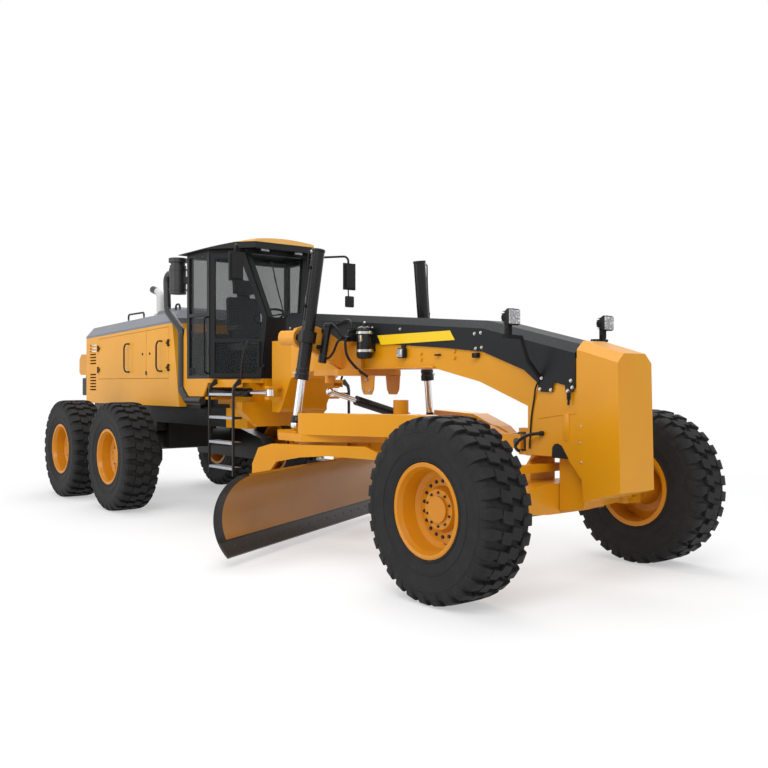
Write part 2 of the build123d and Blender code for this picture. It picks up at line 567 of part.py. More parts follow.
def drawbar():
    """A-frame from the ball back to the yoke that carries the circle."""
    part = box(-110, 110, BALL_Y + 150, BALL_Y + 330, BALL_Z - 60, BALL_Z + 60)
    for side in (-1, 1):
        x0, x1 = sorted((side * 70, side * 110))
        part += box(x0, x1, BALL_Y - 45, BALL_Y + 250, BALL_Z - 60, BALL_Z + 60)
        leg = [(side * 20, BALL_Y + 200), (side * 110, BALL_Y + 200), (side * 940, 2300), (side * 940, BAR_REAR),
               (side * 790, BAR_REAR), (side * 790, 2360), (side * 20, BALL_Y + 420)]
        outline = [(BALL_Y + 200, BALL_Z - 60), (BALL_Y + 330, BALL_Z - 60), (1300, BAR_LOW - 2),
                   (BAR_REAR, BAR_LOW - 2), (BAR_REAR, BAR_HIGH), (1200, BAR_HIGH), (BALL_Y + 330, BALL_Z + 110),
                   (BALL_Y + 200, BALL_Z + 60)]
        x0, x1 = sorted((0, side * 1000))
        part += prism_z(leg, 1000, 1400) & prism_x(outline, x0, x1)
    part += box(-800, 800, 2000, 2120, BAR_LOW - 2, BAR_HIGH - 60)
    part += box(-800, 800, BAR_REAR - 110, BAR_REAR, BAR_LOW - 2, BAR_HIGH - 60)
    # yoke plate over the circle, open in the middle
    plate_z = CIRCLE_Z + CIRCLE_T + SLIDE_GAP
    plate = prism_z([(-420, 1690), (420, 1690), (950, 2300), (950, BAR_REAR + 10), (640, 3230), (-640, 3230),
                     (-950, BAR_REAR + 10), (-950, 2300)], plate_z, BAR_LOW)
    part += plate - rod((0, CIRCLE_Y, plate_z - 5), (0, CIRCLE_Y, BAR_LOW + 5), CIRCLE_BORE - 130)
    # gearbox and motor that turn the circle
    gear_y = CIRCLE_Y - CIRCLE_BORE + 110
    part += box(-150, 150, gear_y - 130, 2010, BAR_LOW - 2, BAR_HIGH - 20)
    part += rod((0, gear_y, BAR_HIGH - 25), (0, gear_y, BAR_HIGH + 120), 75)
    # shoes that hold the circle's flange
    for angle in SHOE_ANGLES:
        shoe = box(CIRCLE_R + 6, CIRCLE_R + 46, -80, 80, CIRCLE_Z + 36, BAR_LOW)
        shoe += box(CIRCLE_WEB_R + 8, CIRCLE_R + 46, -80, 80, CIRCLE_Z + 36, CIRCLE_Z + 60 - SLIDE_GAP)
        part += Pos(0, CIRCLE_Y, 0) * Rot(0, 0, angle) * shoe
    for side in (-1, 1):
        x, y, z = side * -LIFT_EYE[0], LIFT_EYE[1], LIFT_EYE[2]
        part -= box(min(side * 680, x + side * 90), max(side * 680, x + side * 90), y - 150, BAR_REAR + 5,
                    BAR_LOW + 5, BAR_HIGH + 5)
        part += rod((x, y, BAR_LOW), (x, y, z - LIFT_BALL_R - 6), 36)
    x, y, z = SHIFT_BASE
    lug = [(x - 110, BAR_LOW - 2), (x + 110, BAR_LOW - 2), (x + 50, z + 20), (x + 25, z + 48), (x - 25, z + 48),
           (x - 50, z + 20)]
    part += prism_y(lug, y - SHIFT_LUG / 2, y + SHIFT_LUG / 2)
    part -= rod((x, y - 80, z), (x, y + 80, z), SHIFT_BALL_R + FIT)
    part -= rod((-150, BALL_Y, BALL_Z), (150, BALL_Y, BALL_Z), 30 + FIT)
    return part


def circle():
    """Internally toothed ring with the arms that reach down to the blade."""
    step = 360 / CIRCLE_TEETH
    # (share of the pitch, radius) round each tooth
    tooth = [(0.0, CIRCLE_BORE + TOOTH), (0.30, CIRCLE_BORE + TOOTH), (0.42, CIRCLE_BORE), (0.58, CIRCLE_BORE),
             (0.70, CIRCLE_BORE + TOOTH)]
    inner = []
    for i in range(CIRCLE_TEETH):
        for share, radius in tooth[1:]:
            a = radians((i + share) * step)
            inner.append((radius * cos(a), radius * sin(a)))
    ring = Pos(0, 0, CIRCLE_Z + 30) * Cylinder(CIRCLE_WEB_R, 60)
    ring += Pos(0, 0, CIRCLE_Z + CIRCLE_T / 2 + 30) * Cylinder(CIRCLE_R, CIRCLE_T - 60)
    part = ring - prism_z(inner, CIRCLE_Z - 5, CIRCLE_Z + CIRCLE_T + 5)
    arm = [(-500, CIRCLE_Z - 50), (-500, CIRCLE_Z + 20), (-380, 1000), (620, 1000), (760, 960), (830, 800),
           (830, TIP_Z - 40), (TIP_T - 85, TIP_Z - 40), (TIP_T - 85, 700), (560, 830), (300, 880), (0, 900)]
    for side in (-1, 1):
        x0, x1 = sorted((side * ARM_X, side * (ARM_X - ARM_T)))
        part += prism_x(arm, x0, x1)
        x0, x1 = sorted((side * (CIRCLE_BORE + TOOTH + 15), side * (ARM_X - ARM_T + 5)))
        for y0, y1 in ((-230, -110), (140, 260)):
            part += box(x0, x1, y0, y1, CIRCLE_Z - 28, CIRCLE_Z + 30)
        part -= rod((side * (ARM_X - 80), TIP_T, TIP_Z), (side * (ARM_X + 20), TIP_T, TIP_Z), 30 + FIT)
    return part


def blade_section(offset):
    """Point pairs of the blade's arc at an offset behind its face."""
    foot = (BLADE_EDGE_T, BLADE_FOOT)
    head = (BLADE_EDGE_T - BLADE_TIP_FORWARD, BLADE_TOP)
    chord = (head[0] - foot[0], head[1] - foot[1])
    length = sqrt(chord[0] ** 2 + chord[1] ** 2)
    normal = (chord[1] / length, -chord[0] / length)
    rise = sqrt(BLADE_R ** 2 - (length / 2) ** 2)
    centre = ((foot[0] + head[0]) / 2 - normal[0] * rise, (foot[1] + head[1]) / 2 - normal[1] * rise)
    first = atan2(foot[1] - centre[1], foot[0] - centre[0])
    last = atan2(head[1] - centre[1], head[0] - centre[0])
    radius = BLADE_R + offset
    return [(centre[0] + radius * cos(a), centre[1] + radius * sin(a))
            for a in (first, (first + last) / 2, last)], centre


def blade_outline():
    """Section of the blade plate, from the cutting edge to its top."""
    face, _ = blade_section(0)
    back, _ = blade_section(BLADE_T)
    return ThreePointArc(*face) + Line(face[2], back[2]) + ThreePointArc(back[2], back[1], back[0]) \
        + Line(back[0], face[0])


def mouldboard():
    """Curved blade plate with its two slide rails."""
    x0, x1 = BLADE_SHIFT - BLADE_LENGTH / 2, BLADE_SHIFT + BLADE_LENGTH / 2
    plate = extrude(Plane.YZ.offset(x0) * make_face(blade_outline()), x1 - x0)
    plate -= box(x0 - 1, x1 + 1, 0, 1000, 0, BLADE_FOOT + EDGE_HIGH)
    rails = prism_x(RAIL_LOW, BLADE_SHIFT - RAIL_HALF, BLADE_SHIFT + RAIL_HALF)
    rails += prism_x(RAIL_HIGH, BLADE_SHIFT - RAIL_HALF, BLADE_SHIFT + RAIL_HALF)
    return plate + rails


def cutting_edge():
    """Bolted cutting edge along the foot of the blade."""
    x0, x1 = BLADE_SHIFT - BLADE_LENGTH / 2, BLADE_SHIFT + BLADE_LENGTH / 2
    plate = extrude(Plane.YZ.offset(x0) * make_face(blade_outline()), x1 - x0)
    return plate & box(x0 - 1, x1 + 1, 0, 1000, 0, BLADE_FOOT + EDGE_HIGH)


SHOE_ANGLES = (-60, -33, 35, 145, 213, 240)

# slide rails on the blade's back: (behind the circle's middle, height)
RAIL_LOW = [(BLADE_EDGE_T + 108, 225), (BLADE_EDGE_T + 185, 225), (BLADE_EDGE_T + 185, 290), (BLADE_EDGE_T + 133, 290)]
RAIL_HIGH = [(BLADE_EDGE_T + 90, 620), (BLADE_EDGE_T + 135, 620), (BLADE_EDGE_T + 135, 690), (BLADE_EDGE_T + 40, 690)]


def blade_carrier():
    """Tilting carrier whose shoes hold the blade's two rails."""
    gap = SLIDE_GAP
    part = None
    for side in (-1, 1):
        x0, x1 = sorted((side * (ARM_X - ARM_T - 10), side * (ARM_X - ARM_T - 130)))
        y0 = BLADE_EDGE_T + 185 + gap
        lower = box(x0, x1, y0, TIP_T + 40, 205, TIP_Z + 45)
        lower += box(x0, x1, BLADE_EDGE_T + 160, y0 + 20, 290 + gap, 320)
        lower += box(x0, x1, BLADE_EDGE_T + 155, y0 + 20, 200, 225 - gap)
        upper = box(x0, x1, y0, BLADE_EDGE_T + 240, 300, 720)
        upper += box(x0, x1, BLADE_EDGE_T + 100, y0 + 10, 690 + gap, 720)
        upper += box(x0, x1, BLADE_EDGE_T + 127, y0 + 10, 590, 620 - gap)
        part = lower + upper if part is None else part + lower + upper
        part += rod((side * (ARM_X - ARM_T - 60), TIP_T, TIP_Z), (side * (ARM_X + 10), TIP_T, TIP_Z), 30)
    half = ARM_X - ARM_T - 60
    part += rod((-half, TIP_T, TIP_Z), (half, TIP_T, TIP_Z), 38)
    return part


def in_blade_frame(shape):
    """Turn a piece drawn square to the blade to the blade's angle."""
    return Pos(0, CIRCLE_Y, 0) * Rot(0, 0, BLADE_ANGLE) * shape


# -------------------------------------------------------- lift cylinders
def lift_barrel(side):
    """Barrel of a lift cylinder with its gland and trunnion."""
    length = (Vector(*LIFT_TOP) - Vector(*LIFT_EYE)).length
    gland = along(LIFT_EYE, LIFT_TOP, length - LIFT_BARREL_LEN)
    part = rod(gland, LIFT_TOP, LIFT_BARREL_R) + trunnion(side)
    part -= rod(along(gland, LIFT_TOP, 60), along(gland, LIFT_TOP, LIFT_BARREL_LEN - 40), LIFT_BARREL_R - 14)
    part -= rod(along(gland, LIFT_TOP, -5), along(gland, LIFT_TOP, 70), LIFT_ROD_R + FIT)
    return part if side < 0 else mirror_x(part)


def lift_rod(side):
    """Rod of a lift cylinder, down to its ball."""
    length = (Vector(*LIFT_TOP) - Vector(*LIFT_EYE)).length
    part = rod(LIFT_EYE, along(LIFT_EYE, LIFT_TOP, length - LIFT_BARREL_LEN + 560), LIFT_ROD_R)
    part += ball(LIFT_EYE, LIFT_BALL_R, Vector(*LIFT_TOP) - Vector(*LIFT_EYE))
    return part if side < 0 else mirror_x(part)


def shift_bearing():
    """Ball and cross pin that carry the foot of the centre-shift cylinder."""
    x, y, z = SHIFT_BASE
    part = ball(SHIFT_BASE, SHIFT_BALL_R, (0, 1, 0)) & box(x - 50, x + 50, y - 23, y + 23, z - 50, z + 50)
    # grease holes on the line that the cylinder's foot turns about as the drawbar swings
    reach = (Vector(*SHIFT_EYE) - Vector(*SHIFT_BASE)).normalized()
    pull = Vector(SHIFT_EYE[1] - BALL_Y, -SHIFT_EYE[0], 0)
    turn = reach.cross(pull - reach * pull.dot(reach)).normalized()
    for way in (-1, 1):
        foot, mouth = Vector(x, y, z) + turn * way * 20, Vector(x, y, z) + turn * way * 40
        part -= rod((foot.X, foot.Y, foot.Z), (mouth.X, mouth.Y, mouth.Z), 4)
    return part + rod((x, y - 50, z), (x, y + 50, z), SHIFT_PIN_R)


def shift_barrel():
    """Barrel of the centre-shift cylinder, forked round the drawbar's lug."""
    x, y, z = SHIFT_BASE
    plane = Plane(origin=Vector(x, y, z), x_dir=Vector(*SHIFT_EYE) - Vector(*SHIFT_BASE), z_dir=(0, 1, 0))
    part = rod(along(SHIFT_BASE, SHIFT_EYE, 105), along(SHIFT_BASE, SHIFT_EYE, SHIFT_BARREL_LEN), SHIFT_BARREL_R)
    part += plane * Pos(97, 0, 0) * Box(34, 84, 100)
    for side in (-1, 1):
        part += plane * Pos(52, 0, side * 37) * Box(104, 72, 22)
        part += rod((x, y + side * 26, z), (x, y + side * 48, z), 36)
    part -= rod((x, y - 60, z), (x, y + 60, z), SHIFT_PIN_R + FIT)
    part -= rod(along(SHIFT_BASE, SHIFT_EYE, 122), along(SHIFT_BASE, SHIFT_EYE, SHIFT_BARREL_LEN - 60),
                SHIFT_BARREL_R - 12)
    part -= rod(along(SHIFT_BASE, SHIFT_EYE, SHIFT_BARREL_LEN - 65),
                along(SHIFT_BASE, SHIFT_EYE, SHIFT_BARREL_LEN + 5), SHIFT_ROD_R + FIT)
    return part


def shift_rod():
    """Rod of the centre-shift cylinder with its ball eye."""
    length = (Vector(*SHIFT_EYE) - Vector(*SHIFT_BASE)).length
    reach = along(SHIFT_EYE, SHIFT_BASE, length - SHIFT_BARREL_LEN + 314)
    axis = Vector(*SHIFT_BASE) - Vector(*SHIFT_EYE)
    return rod(SHIFT_EYE, reach, SHIFT_ROD_R) + ball(SHIFT_EYE, SHIFT_EYE_R, axis)


# -------------------------------------------------------------------- cab
def square(x, y, z, w):
    return Plane.XY.offset(z) * Pos(x, y) * Rectangle(w, w)


def pillar(points, w):
    """Pillar through (x, y, z) points, square in plan."""
    part = None
    for a, b in zip(points, points[1:]):
        piece = loft([square(*a, w), square(*b, w)], ruled=True)
        part = piece if part is None else part + piece
    return part


def hinge_post(z):
    """Fixed half of a cab door hinge: two ears, their tab and the pin."""
    x, y = DOOR_HINGE
    part = None
    for z0 in (z - 50, z + 20):
        ear = rod((x, y, z0), (x, y, z0 + 30), HINGE_EYE_R) + box(x - 3, x + 22, y, CAB_B_Y + 2, z0, z0 + 30)
        part = ear if part is None else part + ear
    return part + rod((x, y, z - 50), (x, y, z + 50), HINGE_BAR_R)


def hinge_eye(z):
    """Moving half of a cab door hinge: an eye between the ears, with its tab."""
    x, y = DOOR_HINGE
    tab = extrude(door_plane().offset(DOOR_GAP + DOOR_T / 2 - 8) * Pos(34, z) * Rectangle(44, 34), 16)
    eye = tab + rod((x, y, z - 17), (x, y, z + 17), HINGE_EYE_R)
    return eye - rod((x, y, z - 20), (x, y, z + 20), HINGE_BAR_R + FIT)


def cab_frame():
    """Floor, pillars, belt rails and header of the cab, with the door hinges."""
    half, front = CAB_FRONT["floor"]
    plan = [(-half, front), (half, front), (CAB_HALF, CAB_B_Y), (CAB_HALF, CAB_C_Y), (-CAB_HALF, CAB_C_Y),
            (-CAB_HALF, CAB_B_Y)]
    part = prism_z(plan, CAB_FLOOR, CAB_FLOOR + 40)
    inset = PILLAR / 2
    for side in (-1, 1):
        a = []
        for level in ("floor", "belt", "eaves"):
            h, y = CAB_FRONT[level]
            a.append((side * (h - inset), y + inset, LEVELS[level]))
        part += pillar(a, PILLAR)
        for y in (CAB_B_Y + inset, CAB_C_Y - inset):
            x = side * (CAB_HALF - inset)
            part += pillar([(x, y, CAB_FLOOR), (x, y, CAB_EAVES)], PILLAR)
        x0, x1 = sorted((side * CAB_HALF, side * (CAB_HALF - PILLAR)))
        part += box(x0, x1, CAB_B_Y, CAB_C_Y, SIDE_RAIL_Z - 20, SIDE_RAIL_Z + 20)
    # lower front panel, rear panel under the glass
    h0, y0 = CAB_FRONT["floor"]
    h1, y1 = CAB_FRONT["belt"]
    low = Plane.XY.offset(CAB_FLOOR) * Pos(0, y0 + 20) * Rectangle(2 * h0 - 20, 40)
    high = Plane.XY.offset(CAB_BELT) * Pos(0, y1 + 20) * Rectangle(2 * h1 - 20, 40)
    part += loft([low, high], ruled=True)
    part += box(-CAB_HALF + 20, CAB_HALF - 20, CAB_C_Y - 40, CAB_C_Y, CAB_FLOOR, REAR_SILL)
    # header ring
    h2, y2 = CAB_FRONT["eaves"]
    outer = [(-h2, y2), (h2, y2), (CAB_HALF, CAB_B_Y), (CAB_HALF, CAB_C_Y), (-CAB_HALF, CAB_C_Y), (-CAB_HALF, CAB_B_Y)]
    k = PILLAR
    inner = [(-h2 + 30, y2 + k), (h2 - 30, y2 + k), (CAB_HALF - k, CAB_B_Y + 20), (CAB_HALF - k, CAB_C_Y - k),
             (-CAB_HALF + k, CAB_C_Y - k), (-CAB_HALF + k, CAB_B_Y + 20)]
    part += prism_z(outer, CAB_EAVES - 5, CAB_EAVES + HEADER) - prism_z(inner, CAB_EAVES - 10, CAB_EAVES + HEADER + 5)
    for z in DOOR_HINGE_Z:
        post = hinge_post(z)
        part += post
        part += mirror_x(post)
    return part


def cab_roof():
    """Arched roof panel, wider than the cab all round."""
    h, y = CAB_FRONT["eaves"]
    plan = [(-400, 4100), (400, 4100), (800, 4600), (800, 5260), (-800, 5260), (-800, 4600)]
    low = CAB_EAVES + HEADER
    radius = 2700
    crown = low + 100
    slab = prism_z(plan, low - 30, crown + 20)
    arch = Pos(0, 0, crown - radius) * Rot(90, 0, 0) * Cylinder(radius, 12000)
    inner = [(-h - 5, y - 5), (h + 5, y - 5), (CAB_HALF + 5, CAB_B_Y - 5), (CAB_HALF + 5, CAB_C_Y + 5),
             (-CAB_HALF - 5, CAB_C_Y + 5), (-CAB_HALF - 5, CAB_B_Y - 5)]
    return (slab & arch) - prism_z(inner, low - 60, low)


def pane(corners, thick):
    """Flat pane through its corner points."""
    face = make_face(Polyline(*corners, close=True))
    return extrude(face, thick)


def cab_glass():
    """Windscreen, rear-side panes and rear window."""
    h1, y1 = CAB_FRONT["belt"]
    h2, y2 = CAB_FRONT["eaves"]
    k = PILLAR + SEAL
    w1, w2 = h1 - k - 2, h2 - k - 2
    panes = [pane([(-w1, y1 + 30, CAB_BELT + 4), (w1, y1 + 30, CAB_BELT + 4),
                   (w2, y2 + 30, CAB_EAVES - 8), (-w2, y2 + 30, CAB_EAVES - 8)], GLASS)]
    for side in (-1, 1):
        x = side * (CAB_HALF - 20)
        for z0, z1 in ((CAB_FLOOR + 40, SIDE_RAIL_Z - 20), (SIDE_RAIL_Z + 20, CAB_EAVES - 5)):
            panes.append(box(x - 3, x + 3, CAB_B_Y + k, CAB_C_Y - k, z0 + SEAL, z1 - SEAL))
    panes.append(box(-CAB_HALF + k, CAB_HALF - k, CAB_C_Y - 24, CAB_C_Y - 18, REAR_SILL + SEAL, CAB_EAVES - 5 - SEAL))
    return panes


DOOR_STRETCH = sqrt(1 + DOOR_SLOPE ** 2)
DOOR_DIR = (1 / DOOR_STRETCH, -DOOR_SLOPE / DOOR_STRETCH)
DOOR_SPAN = {level: (CAB_HALF - half) * DOOR_STRETCH for level, half in CAB_FRONT_HALF.items()}
DOOR_T = 40.0
DOOR_GAP = 6.0
DOOR_RAIL_Z = 2080.0


DOOR_HINGE = (-CAB_HALF + DOOR_DIR[0] * HINGE_IN + DOOR_DIR[1] * HINGE_OFF,
              CAB_B_Y + DOOR_DIR[1] * HINGE_IN - DOOR_DIR[0] * HINGE_OFF)


def door_plane():
    """Plane of the right door: along the door from its hinge, and up."""
    origin = (-CAB_HALF, CAB_B_Y, 0)
    return Plane(origin=origin, x_dir=(DOOR_DIR[0], DOOR_DIR[1], 0), z_dir=(DOOR_DIR[1], -DOOR_DIR[0], 0))


def door_outline(inset):
    """Outline of the door in its plane: distance from the hinge, height."""
    foot, belt, head = (DOOR_SPAN[level] - 6 - inset for level in ("floor", "belt", "eaves"))
    low, high = CAB_FLOOR + 10 + inset, CAB_EAVES - 12 - inset
    return [(30 + inset, low), (foot, low), (belt, CAB_BELT), (head, high), (30 + inset, high)]


def cab_door(side):
    """Door frame of the cab with its handle."""
    plane = door_plane()
    frame = extrude(plane.offset(DOOR_GAP) * make_face(Polyline(*door_outline(0), close=True)), DOOR_T)
    hole = extrude(plane * make_face(Polyline(*door_outline(55), close=True)), 200, both=True)
    frame -= hole
    width = DOOR_SPAN["belt"]
    bar = extrude(plane.offset(DOOR_GAP) * Pos(width / 2, DOOR_RAIL_Z) * Rectangle(width, 40), DOOR_T)
    frame += bar & extrude(plane * make_face(Polyline(*door_outline(20), close=True)), 200, both=True)
    # upright pull handle by the front edge, and the hinge eyes
    u = DOOR_SPAN["belt"] - 95
    outer = DOOR_GAP + DOOR_T
    for v in (1790, 2050):
        frame += extrude(plane.offset(outer - 4) * Pos(u, v) * Rectangle(26, 26), 44)
        frame += extrude(plane.offset(outer - 10) * Pos(u + 30, v) * Rectangle(60, 40), 10)
    frame += extrude(plane.offset(outer + 26) * Pos(u, 1920) * Rectangle(26, 286), 14)
    for z in DOOR_HINGE_Z:
        frame += hinge_eye(z)
    return frame if side < 0 else mirror_x(frame)


def cab_door_glass(side):
    """Panes of a cab door, above and below its rail."""
    plane = door_plane()
    outline = door_outline(55 + SEAL)
    sheet = extrude(plane.offset(DOOR_GAP + DOOR_T / 2 - 3) * make_face(Polyline(*outline, close=True)), 6)
    cut = extrude(plane * Pos(0, DOOR_RAIL_Z) * Rectangle(3 * DOOR_SPAN["belt"], 40 + 2 * SEAL), 200, both=True)
    sheet -= cut
    return sheet if side < 0 else mirror_x(sheet)


def seat():
    """Seat cushion, back and headrest on a pedestal."""
    part = box(-180, 180, 4700, 5000, CAB_FLOOR + 40, 1960)
    part += box(-260, 260, 4620, 5060, 1950, 2080)
    part += prism_x([(4980, 2070), (5080, 2070), (5140, 2700), (5060, 2700)], -240, 240)
    part += prism_x([(5050, 2700), (5130, 2700), (5140, 2880), (5060, 2880)], -150, 150)
    return part


def controls():
    """Steering column, wheel and lever pods ahead of the seat."""
    part = prism_x([(4300, CAB_FLOOR + 40), (4420, CAB_FLOOR + 40), (4500, 2375), (4430, 2375)], -70, 70)
    tilted = Plane(origin=(0, 4470, 2380), z_dir=(0, 0.45, 1))
    part += tilted * (Cylinder(190, 24) - Cylinder(162, 30))
    part += tilted * Box(340, 40, 16)
    for side in (-1, 1):
        x0, x1 = sorted((side * 60, side * 130))
        part += box(x0, x1, 4400, 4450, 2170, 2290)
    return part


def cab_fittings():
    """Mirrors hung from the header on bent arms."""
    parts = []
    plane = door_plane()
    u = DOOR_SPAN["eaves"] - 70
    z = CAB_EAVES + 18
    root = plane.offset(10).from_local_coords(Vector(u, z, 0))
    for side in (-1, 1):
        plate = extrude(plane * Pos(u, z) * Rectangle(60, 34), 12)
        arm = tube([(root.X, root.Y, z), (MIRROR[0], MIRROR[1], z), (MIRROR[0], MIRROR[1], MIRROR[2] - 120)], 13, 60)
        x, y, zm = MIRROR
        glass = box(x - 85, x + 85, y - 32, y - 8, zm - 170, zm + 150)
        glass += box(x - 60, x + 60, y - 50, y - 31, zm - 145, zm + 125)
        clamp = box(x - 24, x + 24, y - 12, y + 14, zm - 60, zm + 60)
        whole = plate + arm + glass + clamp
        parts.append(whole if side < 0 else mirror_x(whole))
    return parts


# ------------------------------------------------------- hood and rear end
def shoulder(y):
    """Height of the hood's side at y."""
    share = (y - HOOD_FRONT) / (HOOD_REAR - HOOD_FRONT)
    return HOOD_SHOULDER_FRONT + share * (HOOD_SHOULDER_REAR - HOOD_SHOULDER_FRONT)


def hood():
    """Hood shell round the engine, open below, with its doorways and louvres."""
    t = HOOD_SHEET
    top_y = HOOD_FRONT + HOOD_RAKE
    side = [(HOOD_FRONT, HOOD_BOTTOM), (top_y, shoulder(top_y)), (HOOD_REAR, HOOD_SHOULDER_REAR),
            (HOOD_REAR, HOOD_BOTTOM)]
    shell = prism_x(side, -HOOD_HALF, HOOD_HALF)
    inner = [(HOOD_FRONT + t, HOOD_BOTTOM - 5), (top_y + t, shoulder(top_y) - t), (HOOD_REAR - t, HOOD_SHOULDER_REAR - t),
             (HOOD_REAR - t, HOOD_BOTTOM - 5)]
    shell -= prism_x(inner, -HOOD_HALF + t, HOOD_HALF - t)
    front = min(edges[0] for edges in HOOD_DOORS.values())
    rear = max(edges[1] for edges in HOOD_DOORS.values())
    way = [(front, DOOR_LOW), (front, shoulder(front) - DOOR_DROP), (rear, shoulder(rear) - DOOR_DROP), (rear, DOOR_LOW)]
    shell -= prism_x(way, -HOOD_HALF - 5, -HOOD_HALF + t + 5)
    shell -= prism_x(way, HOOD_HALF - t - 5, HOOD_HALF + 5)
    # louvres behind the doors: (first y, last y, low, high)
    for y0, y1, z0, z1 in ((8540.0, 8800.0, 1880.0, 2200.0), (8540.0, 8800.0, 1480.0, 1740.0)):
        for x0, x1 in ((-HOOD_HALF - 5, -HOOD_HALF + t + 5), (HOOD_HALF - t - 5, HOOD_HALF + 5)):
            slot_z = z0
            while slot_z < z1:
                shell -= box(x0, x1, y0, y1, slot_z, slot_z + 22)
                slot_z += 46
    slot_z = BUMPER[1] + 40
    while slot_z < HOOD_SHOULDER_REAR - 60:
        shell -= box(-HOOD_HALF + 70, HOOD_HALF - 70, HOOD_REAR - 60, HOOD_REAR + 5, slot_z, slot_z + 24)
        slot_z += 48
    for side in (-1, 1):
        for front_y, rear_y, handle_y, rear_hinge in HOOD_DOORS.values():
            x, y = hood_hinge(side, front_y, rear_y, rear_hinge)
            away = 1 if rear_hinge else -1
            y0, y1 = sorted((y + away * 2, y + away * 26))
            for z in HOOD_HINGE_Z:
                for z0 in (z - 45, z + 20):
                    shell += rod((x, y, z0), (x, y, z0 + 25), 11)
                    x0, x1 = sorted((side * (HOOD_HALF - 2), x + side * 4))
                    shell += box(x0, x1, y0, y1, z0, z0 + 25) + box(*sorted((x - 4, x + 4)), min(y, y1), max(y, y0), z0, z0 + 25)
                shell += rod((x, y, z - 45), (x, y, z + 45), 6)
    return shell


def hood_hinge(side, front_y, rear_y, rear_hinge):
    """Hinge line of a hood door, seen from above."""
    return side * (HOOD_HALF + 14), rear_y + 2 if rear_hinge else front_y - 2


def hood_door(side, front_y, rear_y, handle_y, rear_hinge):
    """Side door of the hood with its C handle and hinge eyes."""
    gap = LEAF_GAP
    y0, y1 = front_y + gap, rear_y - gap
    outline = [(y0, DOOR_LOW + gap), (y0, shoulder(y0) - DOOR_DROP - gap), (y1, shoulder(y1) - DOOR_DROP - gap),
               (y1, DOOR_LOW + gap)]
    x0, x1 = sorted((side * (HOOD_HALF - HOOD_SHEET), side * HOOD_HALF))
    part = prism_x(outline, x0, x1)
    out = side * (HOOD_HALF + 62)
    skin = side * (HOOD_HALF - 8)
    low, high = DOOR_LOW + 95, DOOR_LOW + 490
    bow = [(skin, handle_y - 45, low), (out, handle_y - 45, low), (out, handle_y, low + 60), (out, handle_y, high - 60),
           (out, handle_y - 45, high), (skin, handle_y - 45, high)]
    part += tube(bow, 11, 26)
    x, y = hood_hinge(side, front_y, rear_y, rear_hinge)
    inward = -1 if rear_hinge else 1
    for z in HOOD_HINGE_Z:
        xa, xb = sorted((side * (HOOD_HALF - 4), x + side * 5))
        ya, yb = sorted((y + inward * 13, y + inward * 50))
        part += box(xa, xb, ya, yb, z - 18, z + 18)
        ya, yb = sorted((y, y + inward * 20))
        part += box(x - 5, x + 5, ya, yb, z - 18, z + 18)
        part += rod((x, y, z - 18), (x, y, z + 18), 11)
        part -= rod((x, y, z - 20), (x, y, z + 20), 6 + FIT)
    return part


def hood_cover():
    """Grey chamfered top of the hood with its grab rails."""
    half = HOOD_HALF
    ends = []
    front = HOOD_FRONT + HOOD_RAKE
    for y in (front, HOOD_REAR):
        low = shoulder(y)
        high = low + HOOD_CROWN
        section = [(-half, low), (half, low), (half, low + 30), (half - 120, high - 20), (half - 200, high),
                   (-half + 200, high), (-half + 120, high - 20), (-half, low + 30)]
        ends.append(Plane.XZ.offset(-y) * make_face(Polyline(*section, close=True)))
    top = loft(ends, ruled=True)
    cut = [(front - 5, shoulder(front) + 60), (front + 110, shoulder(front) + HOOD_CROWN + 20),
           (front - 5, shoulder(front) + HOOD_CROWN + 20)]
    top -= prism_x(cut, -half - 5, half + 5)
    # raised cowl over the front of the engine bay
    cowl = [(front + 230, shoulder(front) + HOOD_CROWN - 30), (front + 330, shoulder(front) + HOOD_CROWN + 45),
            (front + 900, shoulder(front) + HOOD_CROWN + 25), (front + 1020, shoulder(front) + HOOD_CROWN - 40)]
    top += prism_x(cowl, -380, 380)
    for side in (-1, 1):
        for y0, y1 in HOOD_RAILS:
            z = shoulder((y0 + y1) / 2) + HOOD_CROWN
            x = side * (half - 170)
            top += tube([(x, y0, z - 30), (x, y0, z + 75), (x, y1, z + 75), (x, y1, z - 30)], 13, 40)
    return top


def engine():
    """Engine and cooling pack as one block on its feet."""
    block = box(-330, 330, 6100, 8300, 1420, 2180)
    for side in (-1, 1):
        for y in (6400, 7900):
            x0, x1 = sorted((side * 290, side * 420))
            block += box(x0, x1, y - 80, y + 80, HOOD_BOTTOM, 1440)
    return block


def exhaust():
    """Exhaust stack on the hood's top, its end bent to the rear."""
    x, y = EXHAUST
    foot = shoulder(y) + HOOD_CROWN
    pipe = tube([(x, y, foot - 40), (x, y, foot + 320), (x, y + 240, foot + 390)], EXHAUST_R, 90)
    collar = rod((x, y, foot - 40), (x, y, foot + 30), EXHAUST_R + 30)
    return (pipe + collar) - hood_cover()


def intake():
    """Air cleaner on the cab's rear corner and the duct down from it."""
    x, y, z = AIR_CAN
    part = rod((x, y, z), (x, y, z + 350), AIR_CAN_R) + rod((x, y, z + 345), (x, y, z + 395), AIR_CAN_R - 14)
    part += rod((x, y, z + 390), (x, y, z + 440), AIR_CAN_R + 12)
    for rib in (z + 40, z + 290):
        part += rod((x, y, rib), (x, y, rib + 22), AIR_CAN_R + 7)
    part += box(x + 20, x + 75, CAB_C_Y, y - 60, z + 120, z + 200)
    route = [(x, y + 70, z + 270), (x, y + 330, z + 270), (x, y + 300, z - 190), (x, y - 105, z - 460),
             (x, y - 105, 1500), (x, y - 260, 1376), (x, y - 660, 1376)]
    part += tube(route, DUCT_R, 95)
    return part


